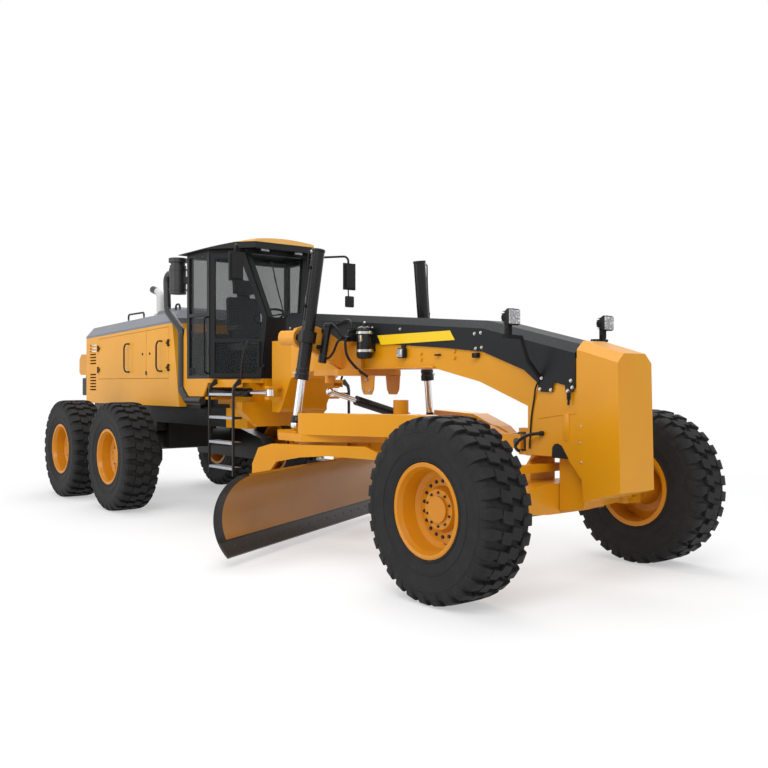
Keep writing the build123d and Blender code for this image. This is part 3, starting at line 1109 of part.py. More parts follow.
def rear_frame():
    """Main rails, hinge knuckle, cab platform, cross members and bumper."""
    part = None
    for side in (-1, 1):
        x0, x1 = sorted((side * 330, side * 450))
        rail = box(x0, x1, 4200, HOOD_REAR + 50, RAIL_BOTTOM, HOOD_BOTTOM)
        part = rail if part is None else part + rail
    front = [(-260, 1600), (-260, 1370), (-580, 1370), (-580, 1270), (-385, 1090), (385, 1090), (580, 1270),
             (580, 1370), (260, 1370), (260, 1600)]
    part += prism_y(front, 4085, 4210)
    low, high = HINGE_LOW + EAR + 5, HINGE_HIGH - EAR - 5
    part += box(-130, 130, HINGE_Y, 4045, low, high)
    part += box(-130, 130, HINGE_Y, 4100, low, 1600)
    part += rod((0, HINGE_Y, low), (0, HINGE_Y, high), 130)
    part -= rod((0, HINGE_Y, HINGE_LOW), (0, HINGE_Y, HINGE_HIGH), HINGE_PIN_R + FIT)
    half, front_y = CAB_FRONT["floor"]
    deck = 5280.0
    plan = [(-half, front_y), (half, front_y), (CAB_HALF, CAB_B_Y), (CAB_HALF, deck), (-CAB_HALF, deck),
            (-CAB_HALF, CAB_B_Y)]
    part += prism_z(plan, CAB_FLOOR - 50, CAB_FLOOR)
    part += box(-400, 400, 4200, deck, 1280, CAB_FLOOR - 48)
    part += box(-CAB_HALF + 55, CAB_HALF - 55, 4960, 5150, 1430, CAB_FLOOR - 48)
    part += box(-500, 500, deck - 10, HOOD_FRONT, HOOD_BOTTOM - 20, 1420)
    for side in (-1, 1):
        # side panel under and behind the cab
        x0, x1 = sorted((side * (CAB_HALF - 20), side * CAB_HALF))
        panel = [(4770, 1430), (5150, 1430), (5285, 1545), (5285, 2150), (5250, 2250), (5215, 2250),
                 (CAB_C_Y + 3, 2120), (CAB_C_Y + 3, CAB_FLOOR), (4650, CAB_FLOOR), (4650, CAB_FLOOR - 60)]
        part += prism_x(panel, x0, x1)
        x0, x1 = sorted((side * (CAB_HALF - 100), side * CAB_HALF))
        part += box(x0, x1, CAB_C_Y + 40, 5285, CAB_FLOOR - 60, 2000)
        # landing at the head of each ladder
        x0, x1 = side * LANDING_X[0], side * LANDING_X[1]
        y0, y1 = LADDER_Y[0] - 12, CAB_B_Y - 30
        meet = CAB_B_Y - (CAB_HALF - LANDING_X[0] - 2) * DOOR_SLOPE
        landing = [(side * (CAB_HALF - (CAB_B_Y - y1) / DOOR_SLOPE - 2), y1), (x1, y1), (x1, y0), (x0, y0), (x0, meet)]
        part += prism_z(landing, CAB_FLOOR - 50, CAB_FLOOR - 12)
        xa, xb = sorted((x1 - side * 14, x1))
        part += box(xa, xb, y0, y1, CAB_FLOOR - 100, CAB_FLOOR - 12)
        x, y, z = side * -ART_BASE[0], ART_BASE[1], ART_BASE[2]
        x0, x1 = sorted((side * 380, x + side * 50))
        for z0 in (z - 85, z + 55):
            part += box(x0, x1, y - 50, y + 50, z0, z0 + 30)
        part += rod((x, y, z - 85), (x, y, z + 85), ART_PIN_R)
        # lamp housing under the bumper
        x0, x1 = sorted((side * 400, side * 590))
        part += box(x0, x1, HOOD_REAR, HOOD_REAR + 190, 1400, 1670)
        part += box(x0, x1, HOOD_REAR, HOOD_REAR + 60, 1660, BUMPER[0] + 5)
    part += box(-450, 450, 8850, HOOD_REAR + 50, RAIL_BOTTOM, HOOD_BOTTOM - 5)
    part += box(-450, 450, TANDEM_Y - 270, TANDEM_Y + 270, RAIL_BOTTOM, RAIL_BOTTOM + 90)
    low, high = BUMPER
    tail = [(HOOD_REAR, low), (HOOD_REAR, high), (TAIL_Y - 80, high), (TAIL_Y, high - 80), (TAIL_Y, low + 40),
            (TAIL_Y - 60, low)]
    part += prism_x(tail, -HOOD_HALF, HOOD_HALF)
    part += box(-400, 400, HOOD_REAR, HOOD_REAR + 50, HOOD_BOTTOM - 50, low + 5)
    return part


def tow_hitch():
    """Towing tongue with its pin hole under the tail."""
    y0, y1 = HOOD_REAR + 50, TAIL_Y - 90
    top = TOW_Z + TOW_T
    plate = box(-90, 90, y0, y1, TOW_Z, top) + rod((0, y1, TOW_Z), (0, y1, top), 90)
    foot = box(-120, 120, y0, y0 + 30, TOW_Z - 50, top + 60)
    return plate + foot - rod((0, y1, TOW_Z - 1), (0, y1, top + 1), TOW_R)


def tandem_cases():
    """Tandem cases with the wheel spindles, and the axle between them."""
    part = rod((-760, TANDEM_Y, 820), (760, TANDEM_Y, 820), 150)
    part += box(-300, 300, TANDEM_Y - 260, TANDEM_Y + 260, 700, RAIL_BOTTOM)
    for side in (-1, 1):
        x0, x1 = sorted((side * 300, side * 450))
        part += box(x0, x1, TANDEM_Y - 200, TANDEM_Y + 200, 940, RAIL_BOTTOM)
    for side in (-1, 1):
        y0, y1 = WHEELBASE, WHEELBASE + TANDEM_SPACING
        outline = [(y0 - 150, AXLE_Z - 60), (y0 - 60, AXLE_Z - 150), (y1 + 60, AXLE_Z - 150), (y1 + 150, AXLE_Z - 60),
                   (y1 + 150, AXLE_Z + 60), (y1 + 60, AXLE_Z + 150), (TANDEM_Y + 250, AXLE_Z + 290),
                   (TANDEM_Y - 250, AXLE_Z + 290), (y0 - 60, AXLE_Z + 150), (y0 - 150, AXLE_Z + 60)]
        x0, x1 = sorted((side * 740, side * 930))
        case = prism_x(outline, x0, x1)
        for y in (y0, y1):
            case += rod((side * 900, y, AXLE_Z), (side * (WHEEL_X + HUB_OUT - 2), y, AXLE_Z), SPINDLE_R)
        part += case
    return part


def ladders():
    """Ladder at each cab door: bent flat rails with four treads between."""
    parts = []
    for side in (-1, 1):
        ladder = None
        x0, x1 = LADDER_X
        edge = [(x1 - 6, 560), (x1 + 18, 560), (x1 + 18, 1500), (x1 + 6, 1560), (x1 - 60, CAB_FLOOR - 4),
                (LANDING_X[1], CAB_FLOOR - 16), (LANDING_X[1], CAB_FLOOR - 62), (x1 - 20, 1540), (x1 - 6, 1490)]
        for y in LADDER_Y:
            rail = prism_y([(side * x, z) for x, z in edge], y - 12, y + 12)
            ladder = rail if ladder is None else ladder + rail
        low, high = sorted((side * x0, side * (x1 + 18)))
        for z in TREADS:
            ladder += box(low, high, LADDER_Y[0], LADDER_Y[1], z - 14, z + 14)
        parts.append(ladder)
    return parts


# ------------------------------------------------- articulation cylinders
def art_barrel(side):
    """Barrel of an articulation cylinder, pinned under the cab."""
    x, y, z = ART_BASE
    part = rod(along(ART_BASE, ART_EYE, 40), along(ART_BASE, ART_EYE, ART_BARREL_LEN), ART_BARREL_R)
    part += rod((x, y, z - 45), (x, y, z + 45), 48)
    part -= rod((x, y, z - 50), (x, y, z + 50), ART_PIN_R + FIT)
    part -= rod(along(ART_BASE, ART_EYE, 90), along(ART_BASE, ART_EYE, ART_BARREL_LEN - 60), ART_BARREL_R - 12)
    part -= rod(along(ART_BASE, ART_EYE, ART_BARREL_LEN - 65), along(ART_BASE, ART_EYE, ART_BARREL_LEN + 5),
                ART_ROD_R + FIT)
    return part if side < 0 else mirror_x(part)


def art_rod(side):
    """Rod of an articulation cylinder with its eye."""
    length = (Vector(*ART_EYE) - Vector(*ART_BASE)).length
    x, y, z = ART_EYE
    part = rod(along(ART_EYE, ART_BASE, 20), along(ART_EYE, ART_BASE, length - ART_BARREL_LEN + 270), ART_ROD_R)
    part += rod((x, y, z - 35), (x, y, z + 35), 45)
    return part if side < 0 else mirror_x(part)


# ------------------------------------------------------------------ write
def build():
    """Write every sub-part."""
    os.makedirs("parts", exist_ok=True)
    axles = {"front": 0.0, "middle": WHEELBASE, "rear": WHEELBASE + TANDEM_SPACING}
    for side_name, side in (("right", -1), ("left", 1)):
        for axle, y in axles.items():
            save(f"tyre_{axle}_{side_name}", tyre(side, y))
            save(f"rim_{axle}_{side_name}", rim(side, y))
        save(f"lean_carrier_{side_name}", lean_carrier(side))
        save(f"knuckle_{side_name}", knuckle(side))
        save(f"lift_barrel_{side_name}", lift_barrel(side))
        save(f"lift_rod_{side_name}", lift_rod(side))
        save(f"articulation_barrel_{side_name}", art_barrel(side))
        save(f"articulation_rod_{side_name}", art_rod(side))
        save(f"cab_door_{side_name}", cab_door(side))
        save(f"cab_door_glass_{side_name}", cab_door_glass(side))
        for edge, sizes in HOOD_DOORS.items():
            save(f"hood_door_{edge}_{side_name}", hood_door(side, *sizes))
    save("front_axle", front_axle())
    save("lean_bar", lean_bar())
    save("tie_rod", tie_rod())
    save("tie_rod_stud", stud(-KING_X))
    save("front_frame", front_frame())
    save("beam_cover", beam_cover())
    save("saddle", saddle())
    save("shift_barrel", shift_barrel())
    save("shift_rod", shift_rod())
    save("shift_bearing", shift_bearing())
    save("drawbar_ball", drawbar_ball())
    save("drawbar", drawbar())
    save("circle", in_blade_frame(circle()))
    save("blade_carrier", in_blade_frame(blade_carrier()))
    save("mouldboard", in_blade_frame(mouldboard()))
    save("cutting_edge", in_blade_frame(cutting_edge()))
    save("rear_frame", rear_frame())
    save("tandem_cases", tandem_cases())
    save("hood", hood())
    save("hood_cover", hood_cover())
    save("engine", engine(), intake(), exhaust())
    save("tow_hitch", tow_hitch())
    save("cab_frame", cab_frame())
    save("cab_roof", cab_roof())
    save("cab_glass", *cab_glass())
    save("cab_interior", seat(), controls())
    save("ladders", *ladders())
    save("cab_fittings", *cab_fittings())


build()
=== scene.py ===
"""Motor grader: materials, tread, fittings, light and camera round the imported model.

Sizes are in millimetres from the front axle and the ground, as in the part's
source, and place() turns them into metres in the row frame.
"""
import math

import bmesh
import bpy
from mathutils import Matrix, Vector


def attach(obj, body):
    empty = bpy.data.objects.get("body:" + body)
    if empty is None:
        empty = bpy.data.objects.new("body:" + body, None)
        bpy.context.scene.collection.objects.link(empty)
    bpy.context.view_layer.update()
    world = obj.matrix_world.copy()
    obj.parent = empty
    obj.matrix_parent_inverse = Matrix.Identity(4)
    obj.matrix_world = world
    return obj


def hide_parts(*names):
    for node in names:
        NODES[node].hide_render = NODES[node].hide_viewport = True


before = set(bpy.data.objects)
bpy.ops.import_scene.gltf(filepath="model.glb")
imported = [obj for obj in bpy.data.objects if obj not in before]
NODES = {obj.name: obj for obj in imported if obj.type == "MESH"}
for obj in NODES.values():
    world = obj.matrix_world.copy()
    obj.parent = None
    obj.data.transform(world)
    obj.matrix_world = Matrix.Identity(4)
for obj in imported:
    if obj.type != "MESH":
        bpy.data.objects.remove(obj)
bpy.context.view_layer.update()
SIDES = {"right": -1, "left": 1}

# ------------------------------------------------------------ shared sizes
MID_Y = 4240.0
AXLE_Z = 675.0
WHEEL_X = 1207.0
AXLES = {"front": 0.0, "middle": 5998.0, "rear": 7735.0}
COVER_X = 214.0
BEAM_X = 200.0
NOSE_X = 205.0
BLADE_CENTRE = (0.0, 2500.0)
BLADE_TURN = math.radians(28)
BLADE_SHIFT = 232.0
BLADE_HALF = 2135.0
HOOD_FRONT_Y, HOOD_REAR_Y = 5660.0, 8950.0
SHOULDER_Z = 2370.0
SHOULDER_FALL = 90.0
HOOD_CROWN = 190.0
ROOF_BAND_Z = 3.212
LIFT_BARREL_LEN = 1270.0


def place(x, y, z):
    """Point in the row frame, in metres."""
    return Vector((x, y - MID_Y, z)) / 1000


# --------------------------------------------------------------- materials
class Signal:
    """Output of a shader node that arithmetic can be written on."""

    def __init__(self, finish, socket):
        self.finish = finish
        self.socket = socket

    def _math(self, operation, a, b=None, clamp=False):
        values = {0: a} if b is None else {0: a, 1: b}
        return self.finish.add("ShaderNodeMath", {"operation": operation, "use_clamp": clamp}, values)

    def __add__(self, other):
        return self._math("ADD", self, other)

    def __radd__(self, other):
        return self._math("ADD", other, self)

    def __sub__(self, other):
        return self._math("SUBTRACT", self, other)

    def __rsub__(self, other):
        return self._math("SUBTRACT", other, self)

    def __mul__(self, other):
        return self._math("MULTIPLY", self, other)

    def __rmul__(self, other):
        return self._math("MULTIPLY", other, self)

    def __truediv__(self, other):
        return self._math("DIVIDE", self, other)

    def above(self, limit):
        return self._math("GREATER_THAN", self, limit)

    def below(self, limit):
        return self._math("LESS_THAN", self, limit)

    def size(self):
        return self._math("ABSOLUTE", self)

    def either(self, other):
        return self._math("MAXIMUM", self, other)

    def clamped(self):
        return self._math("ADD", self, 0.0, True)

    def power(self, exponent):
        return self._math("POWER", self, exponent)


class Finish:
    """Material with a Principled shader and short calls for its other nodes."""

    def __init__(self, name, color=(0.5, 0.5, 0.5), rough=0.5, metal=0.0, **fixed):
        self.mat = bpy.data.materials.new(name)
        self.mat.use_nodes = True
        self.tree = self.mat.node_tree
        self.shader = next(n for n in self.tree.nodes if n.type == "BSDF_PRINCIPLED")
        self.set("Base Color", (*color, 1))
        self.set("Roughness", rough)
        self.set("Metallic", metal)
        for socket, value in fixed.items():
            self.set(socket.replace("_", " "), value)
        self.points = self.add("ShaderNodeTexCoord", {}, {}, "Object")

    def add(self, kind, settings, values, output=0):
        node = self.tree.nodes.new(kind)
        for setting, value in settings.items():
            if setting == "stops":
                ramp = node.color_ramp
                while len(ramp.elements) < len(value):
                    ramp.elements.new(0.5)
                for element, (position, color) in zip(ramp.elements, value):
                    element.position = position
                    element.color = (*color, 1)
            else:
                setattr(node, setting, value)
        for key, value in values.items():
            if isinstance(value, Signal):
                self.tree.links.new(value.socket, node.inputs[key])
            else:
                node.inputs[key].default_value = value
        return Signal(self, node.outputs[output])

    def set(self, socket, value):
        if isinstance(value, Signal):
            self.tree.links.new(value.socket, self.shader.inputs[socket])
        else:
            self.shader.inputs[socket].default_value = value

    def axes(self):
        """The x, y and z signals of a point of the object."""
        node = self.tree.nodes.new("ShaderNodeSeparateXYZ")
        self.tree.links.new(self.points.socket, node.inputs[0])
        return [Signal(self, node.outputs[i]) for i in range(3)]

    def noise(self, scale, detail=3.0, rough=0.55, stretch=None):
        vector = self.points
        if stretch:
            vector = self.add("ShaderNodeMapping", {}, {0: self.points, 3: stretch})
        return self.add("ShaderNodeTexNoise", {}, {"Vector": vector, "Scale": scale, "Detail": detail,
                                                   "Roughness": rough})

    def blend(self, factor, a, b):
        """Colour a where the factor is 0, b where it is 1."""
        values = {0: factor}
        for key, value in ((6, a), (7, b)):
            values[key] = value if isinstance(value, Signal) else (*value, 1)
        return self.add("ShaderNodeMix", {"data_type": "RGBA"}, values, 2)

    def bump(self, height, strength, depth=0.002):
        sockets = {"Height": height, "Strength": strength, "Distance": depth}
        self.set("Normal", self.add("ShaderNodeBump", {}, sockets))


YELLOW = (0.72, 0.315, 0.003)
YELLOW_WARM = (0.62, 0.245, 0.003)
CHARCOAL = (0.010, 0.011, 0.0125)
BLACK = (0.0065, 0.0068, 0.0072)
DUST = (0.33, 0.27, 0.19)


def painted(name, color, warm, rough=0.36, coat=0.12, dark_mask=None, dark=BLACK, dust=0.08, shine=0.25):
    """Sprayed paint: slow colour drift, orange peel, and a little dust near the ground."""
    f = Finish(name, color, rough, Coat_Roughness=0.12, Specular_IOR_Level=shine)
    f.set("Coat Weight", coat)
    drift = f.noise(1.6, 2.0)
    shade = f.blend(drift, color, warm)
    x, y, z = f.axes()
    grime = f.noise(7.0, 6.0, 0.65)
    low = ((1.15 - z) * 0.9).clamped()
    film = (grime * grime * low * dust * 4.0).clamped()
    shade = f.blend(film, shade, DUST)
    speck = f.noise(30.0, 4.0)
    gloss = speck * 0.16 + (rough - 0.08) + film * 0.4
    if dark_mask:
        mask = dark_mask(f, x, y, z)
        shade = f.blend(mask, shade, dark)
        gloss = gloss + mask * 0.12
    f.set("Base Color", shade)
    f.set("Roughness", gloss)
    f.bump(f.noise(420.0, 1.0), 0.05, 0.0004)
    return f.mat


def row_y(y):
    """Depth in the row frame, in metres."""
    return (y - MID_Y) / 1000


def paint_frame_mask(f, x, y, z):
    """Rails and hinge hardware of the rear frame that are black."""
    low = z.below(1.335) * y.above(row_y(4700))
    box_low = z.below(1.44) * y.above(row_y(5000)) * (1 - x.size().above(0.701))
    lamp = y.above(row_y(8952)) * z.below(1.69)
    return low.either(lamp).either(box_low).clamped()


def hood_rail_mask(f, x, y, z):
    """Grab rails that stand on the grey top."""
    fall = (y - row_y(HOOD_FRONT_Y)) * (-SHOULDER_FALL / (HOOD_REAR_Y - HOOD_FRONT_Y))
    top = fall + (SHOULDER_Z + HOOD_CROWN + 12) / 1000
    return (z - top).above(0.0) * x.size().above(0.40)


def handle_mask(f, x, y, z):
    """Handles and hinges that stand off the hood's doors."""
    return x.size().above(0.6015)


def blade_mask(f, x, y, z):
    """Black end bits at both ends of the blade."""
    c, s = math.cos(BLADE_TURN), math.sin(BLADE_TURN)
    along = x * c + (y - row_y(BLADE_CENTRE[1])) * s - BLADE_SHIFT / 1000
    low = z.below(0.225)
    return along.size().above(BLADE_HALF / 1000 - 0.105).either(low)


def lamp_mask(f, x, y, z):
    """Lamps and bars, which stand outside the cover's sides."""
    return x.size().above(0.2145)


def roof_mask(f, x, y, z):
    """Black header below the roof's coloured cap."""
    return z.below(ROOF_BAND_Z)


def cylinder_paint(name, color=(0.007, 0.007, 0.008), rough=0.28):
    """Gloss black of the cylinder barrels."""
    f = Finish(name, color, rough, Coat_Weight=0.12, Coat_Roughness=0.08, Specular_IOR_Level=0.2)
    speck = f.noise(55.0, 4.0)
    f.set("Roughness", speck * 0.14 + (rough - 0.07))
    f.set("Base Color", f.blend((speck * 0.35).clamped(), color, (0.022, 0.022, 0.024)))
    f.bump(f.noise(500.0, 1.0), 0.04, 0.0004)
    return f.mat


def rubber(name):
    """Tyre rubber, a little dusty."""
    f = Finish(name, (0.016, 0.016, 0.017), 0.75, Specular_IOR_Level=0.12)
    broad = f.noise(3.5, 5.0)
    fine = f.noise(60.0, 4.0)
    shade = f.blend((broad * 0.75).clamped(), (0.012, 0.012, 0.013), (0.026, 0.0255, 0.025))
    dusty = (f.noise(11.0, 5.0, 0.7).power(3.0) * 0.5).clamped()
    f.set("Base Color", f.blend(dusty, shade, (0.060, 0.057, 0.052)))
    f.set("Roughness", fine * 0.2 + 0.52)
    f.bump(fine + f.noise(260.0, 2.0) * 0.6, 0.22, 0.0012)
    return f.mat


def chrome(name):
    """Polished rod with faint scuffs along it."""
    f = Finish(name, (0.74, 0.75, 0.77), 0.13, 1.0)
    scuff = f.noise(24.0, 4.0, 0.6, (1, 1, 14))
    f.set("Roughness", scuff * 0.14 + 0.07)
    f.bump(scuff, 0.02, 0.0003)
    return f.mat


def steel(name, color, rough=0.42, metal=0.85):
    """Bare or plated steel with fine scratches."""
    f = Finish(name, color, rough, metal)
    scratch = f.noise(38.0, 5.0, 0.6, (1, 1, 7))
    lighter = tuple(min(1, c * 1.7 + 0.02) for c in color)
    f.set("Base Color", f.blend((scratch * 0.6).clamped(), color, lighter))
    f.set("Roughness", scratch * 0.25 + (rough - 0.1))
    f.bump(scratch, 0.08, 0.0008)
    return f.mat


def plastic(name, color, rough=0.55, grain=900.0):
    """Moulded plastic or hose cover with a fine grain."""
    f = Finish(name, color, rough, Specular_IOR_Level=0.18)
    cloud = f.noise(9.0, 3.0)
    lighter = tuple(c * 1.35 for c in color)
    f.set("Base Color", f.blend(cloud, color, lighter))
    f.set("Roughness", cloud * 0.12 + (rough - 0.06))
    f.bump(f.noise(grain, 2.0), 0.12, 0.0004)
    return f.mat


def fabric(name):
    """Woven seat cloth."""
    f = Finish(name, (0.030, 0.031, 0.034), 0.85, Sheen_Weight=0.35)
    weave = f.add("ShaderNodeTexWave", {"wave_type": "BANDS", "bands_direction": "X"},
                  {"Vector": f.points, "Scale": 160.0, "Distortion": 1.5, "Detail": 2.0})
    cross = f.add("ShaderNodeTexWave", {"wave_type": "BANDS", "bands_direction": "Z"},
                  {"Vector": f.points, "Scale": 160.0, "Distortion": 1.5, "Detail": 2.0})
    cloth = weave * 0.5 + cross * 0.5
    f.set("Base Color", f.blend((cloth * 0.8).clamped(), (0.022, 0.023, 0.026), (0.060, 0.061, 0.066)))
    f.set("Roughness", cloth * 0.15 + 0.72)
    f.bump(cloth, 0.35, 0.0012)
    return f.mat


def glass(name):
    """Tinted cab glass with faint streaks."""
    f = Finish(name, (0.016, 0.020, 0.021), 0.03, Specular_IOR_Level=0.28)
    streak = f.noise(2.2, 4.0, 0.6, (1, 1, 0.35))
    f.set("Alpha", (streak * 0.10 + 0.30).clamped())
    f.set("Roughness", streak * 0.05 + 0.02)
    f.mat.surface_render_method = "BLENDED"
    return f.mat


def lens(name):
    """Lamp lens with bright cells."""
    f = Finish(name, (0.72, 0.74, 0.76), 0.08, Coat_Weight=1.0)
    cells = f.add("ShaderNodeTexVoronoi", {"feature": "F1"}, {"Vector": f.points, "Scale": 42.0}, 0)
    f.set("Base Color", f.blend((cells * 2.2).clamped(), (0.95, 0.96, 0.97), (0.30, 0.31, 0.33)))
    f.set("Metallic", (1 - cells * 1.5).clamped() * 0.6)
    f.bump(cells, 0.6, 0.004)
    return f.mat


def tread_plate(name):
    """Rungs: pale zinc with raised grip marks."""
    f = Finish(name, (0.42, 0.44, 0.47), 0.4, 0.55)
    y = f.axes()[1]
    inner = y.above(row_y(3928)) * y.below(row_y(4462))
    marks = f.add("ShaderNodeTexVoronoi", {"feature": "F1"}, {"Vector": f.points, "Scale": 38.0}, 0)
    zinc = f.blend(f.noise(14.0, 4.0), (0.36, 0.38, 0.41), (0.55, 0.57, 0.60))
    f.set("Base Color", f.blend(inner, BLACK, zinc))
    f.set("Metallic", inner * 0.55)
    f.set("Roughness", marks * 0.2 + 0.3)
    f.bump(marks * inner, 0.5, 0.003)
    return f.mat


MAT = {
    "yellow": painted("paint_body_yellow", YELLOW, YELLOW_WARM),
    # painted light: the hood and its doors get a lighter copy of the body yellow, where light falls on the
    # hood's sides, drifting back to the body yellow
    "hood": painted("paint_hood_side_painted_light", (0.84, 0.37, 0.020), YELLOW, dark_mask=handle_mask),
    "rear_frame": painted("paint_rear_frame", YELLOW, YELLOW_WARM, dark_mask=paint_frame_mask),
    "roof": painted("paint_cab_roof", (0.84, 0.50, 0.17), (0.80, 0.42, 0.10), dark_mask=roof_mask, dust=0.0),
    "saddle": painted("paint_saddle", (0.78, 0.36, 0.055), YELLOW_WARM),
    "rim": painted("paint_rim", (0.62, 0.235, 0.002), (0.52, 0.185, 0.002), rough=0.32, dust=0.05),
    # painted shade: the mouldboard gets a dark brown copy of the body yellow, as its front face stands in
    # shade
    "blade": painted("paint_blade_painted_shade", (0.44, 0.18, 0.004), (0.28, 0.10, 0.003), rough=0.3,
                     dark_mask=blade_mask, dust=0.05),
    "charcoal": painted("paint_cab_black", (0.009, 0.0095, 0.0105), (0.014, 0.0145, 0.0155), rough=0.38,
                        coat=0.03, dust=0.01, shine=0.18),
    "cover": painted("paint_cover_with_lamps", CHARCOAL, (0.014, 0.015, 0.0165), rough=0.46, coat=0.0,
                     dark_mask=lamp_mask, dust=0.01, shine=0.16),
    "grey": painted("paint_hood_top", (0.150, 0.160, 0.185), (0.185, 0.195, 0.220), rough=0.42, coat=0.1,
                    dark_mask=hood_rail_mask, dust=0.02),
    "black": painted("paint_frame_black", BLACK, (0.010, 0.010, 0.011), rough=0.4, coat=0.02,
                     dust=0.05, shine=0.16),
    "barrel": cylinder_paint("paint_cylinder_black"),
    "rubber": rubber("tyre_rubber"),
    "chrome": chrome("chrome_rod"),
    "edge": steel("cutting_edge_steel", (0.030, 0.029, 0.028), 0.4, 0.6),
    "bolt": steel("zinc_bolt", (0.42, 0.40, 0.36), 0.32, 0.9),
    "dark_bolt": steel("dark_bolt", (0.05, 0.045, 0.04), 0.45, 0.8),
    "cast": steel("cast_dark", (0.05, 0.05, 0.052), 0.6, 0.3),
    "plastic": plastic("black_plastic", (0.014, 0.014, 0.015)),
    "fabric": fabric("seat_fabric"),
    "glass": glass("cab_glass"),
    "lens": lens("lamp_lens"),
    "rungs": tread_plate("ladder_rungs"),
    "plate": painted("paint_plate_yellow", (0.86, 0.58, 0.012), (0.84, 0.55, 0.01), rough=0.3, dust=0.0),
    "red": plastic("red_lens", (0.45, 0.012, 0.01), 0.2, 200.0),
    "hose": plastic("hose_rubber", (0.012, 0.012, 0.013), 0.45, 700.0),
}


def engine_finish():
    """Engine block and intake in black, pale exhaust stack with a dark tip."""
    f = Finish("engine_and_stack", BLACK, 0.45)
    x, y, z = f.axes()
    pale = x.above(-0.42) * y.above(row_y(6700)) * z.above(2.50)
    tip = y.above(row_y(6985)) * z.above(2.6)
    mask = (pale - tip).clamped()
    grain = f.noise(40.0, 3.0)
    metal = f.blend(grain, (0.62, 0.62, 0.60), (0.50, 0.50, 0.49))
    f.set("Base Color", f.blend(mask, f.blend(grain, BLACK, (0.022, 0.022, 0.023)), metal))
    f.set("Roughness", grain * 0.2 + 0.34)
    f.bump(f.noise(300.0), 0.08, 0.0005)
    return f.mat


MAT["engine"] = engine_finish()

NODE_FINISH = {
    "rear_frame": "rear_frame", "tandem_cases": "black", "hood": "hood", "hood_cover": "grey",
    "engine": "engine",
    "cab_frame": "charcoal", "cab_roof": "roof", "cab_glass": "glass", "ladders": "rungs",
    "cab_fittings": "plastic", "tow_hitch": "black", "front_frame": "yellow", "beam_cover": "cover",
    "saddle": "saddle", "front_axle": "yellow", "lean_bar": "yellow", "tie_rod": "cast",
    "tie_rod_stud": "cast",
    "drawbar_ball": "cast", "drawbar": "yellow", "shift_bearing": "cast", "shift_barrel": "barrel",
    "shift_rod": "chrome", "circle": "yellow", "blade_carrier": "yellow", "mouldboard": "blade",
    "cutting_edge": "edge", "cab_interior": "plastic",
}
for side in SIDES:
    for axle in AXLES:
        NODE_FINISH[f"rim_{axle}_{side}"] = "rim"
        NODE_FINISH[f"tyre_{axle}_{side}"] = "rubber"
    NODE_FINISH.update({
        f"lean_carrier_{side}": "yellow", f"knuckle_{side}": "yellow", f"lift_barrel_{side}": "barrel",
        f"lift_rod_{side}": "chrome", f"articulation_barrel_{side}": "barrel",
        f"articulation_rod_{side}": "chrome",
        f"cab_door_{side}": "charcoal", f"cab_door_glass_{side}": "glass",
        f"hood_door_front_{side}": "hood", f"hood_door_rear_{side}": "hood"})
for name, node in NODES.items():
    material = MAT[NODE_FINISH[name]]
    for material_slot in node.material_slots:
        material_slot.material = material


# ------------------------------------------------------------ making pieces
def only(obj):
    """Select one object alone."""
    bpy.ops.object.select_all(action="DESELECT")
    obj.select_set(True)
    bpy.context.view_layer.objects.active = obj


def settle(obj):
    """Put the object's place, turn and scale into its mesh."""
    only(obj)
    bpy.ops.object.transform_apply(location=True, rotation=True, scale=True)
    return obj


def rounded(obj, width, segments=2):
    """Round the sharp edges with an applied bevel."""
    if width:
        only(obj)
        bevel = obj.modifiers.new("round", "BEVEL")
        bevel.width = width / 1000
        bevel.segments = segments
        bevel.limit_method = "ANGLE"
        bpy.ops.object.modifier_apply(modifier="round")
    return obj


def block(lo, hi, width=4.0):
    """Box between two corners with rounded edges."""
    a, b = place(*lo), place(*hi)
    bpy.ops.mesh.primitive_cube_add(size=1, location=(a + b) / 2)
    obj = bpy.context.object
    obj.scale = [abs(v) for v in (b - a)]
    return rounded(settle(obj), width)


def round_bar(p, q, radius, width=2.0, sides=24):
    """Round bar from p to q, its ends chamfered."""
    a, b = place(*p), place(*q)
    bpy.ops.mesh.primitive_cylinder_add(vertices=sides, radius=radius / 1000, depth=(b - a).length,
                                        location=(a + b) / 2)
    obj = bpy.context.object
    obj.rotation_euler = (b - a).to_track_quat("Z", "Y").to_euler()
    return rounded(settle(obj), width, 1)


def sheet_metal(points, offset, width=1.5):
    """Flat outline of points, pushed along the offset vector."""
    bpy.ops.mesh.primitive_circle_add(vertices=len(points), fill_type="NGON", radius=1)
    obj = bpy.context.object
    for vertex, point in zip(obj.data.vertices, points):
        vertex.co = place(*point)
    only(obj)
    bpy.ops.object.mode_set(mode="EDIT")
    bpy.ops.mesh.select_all(action="SELECT")
    bpy.ops.mesh.extrude_region_move(TRANSFORM_OT_translate={"value": [v / 1000 for v in offset]})
    bpy.ops.mesh.select_all(action="SELECT")
    bpy.ops.mesh.normals_make_consistent(inside=False)
    bpy.ops.object.mode_set(mode="OBJECT")
    return rounded(obj, width, 1)


def pipe(points, radius, order=3, sides=4):
    """Bent line through the points, made a mesh."""
    curve = bpy.data.curves.new("line", "CURVE")
    curve.dimensions = "3D"
    curve.bevel_depth = radius / 1000
    curve.bevel_resolution = sides
    curve.use_fill_caps = True
    spline = curve.splines.new("NURBS")
    spline.points.add(len(points) - 1)
    for target, point in zip(spline.points, points):
        target.co = (*place(*point), 1)
    spline.order_u = order
    spline.use_endpoint_u = True
    spline.resolution_u = 6
    obj = bpy.data.objects.new("line", curve)
    bpy.context.collection.objects.link(obj)
    only(obj)
    bpy.ops.object.convert(target="MESH")
    return bpy.context.object


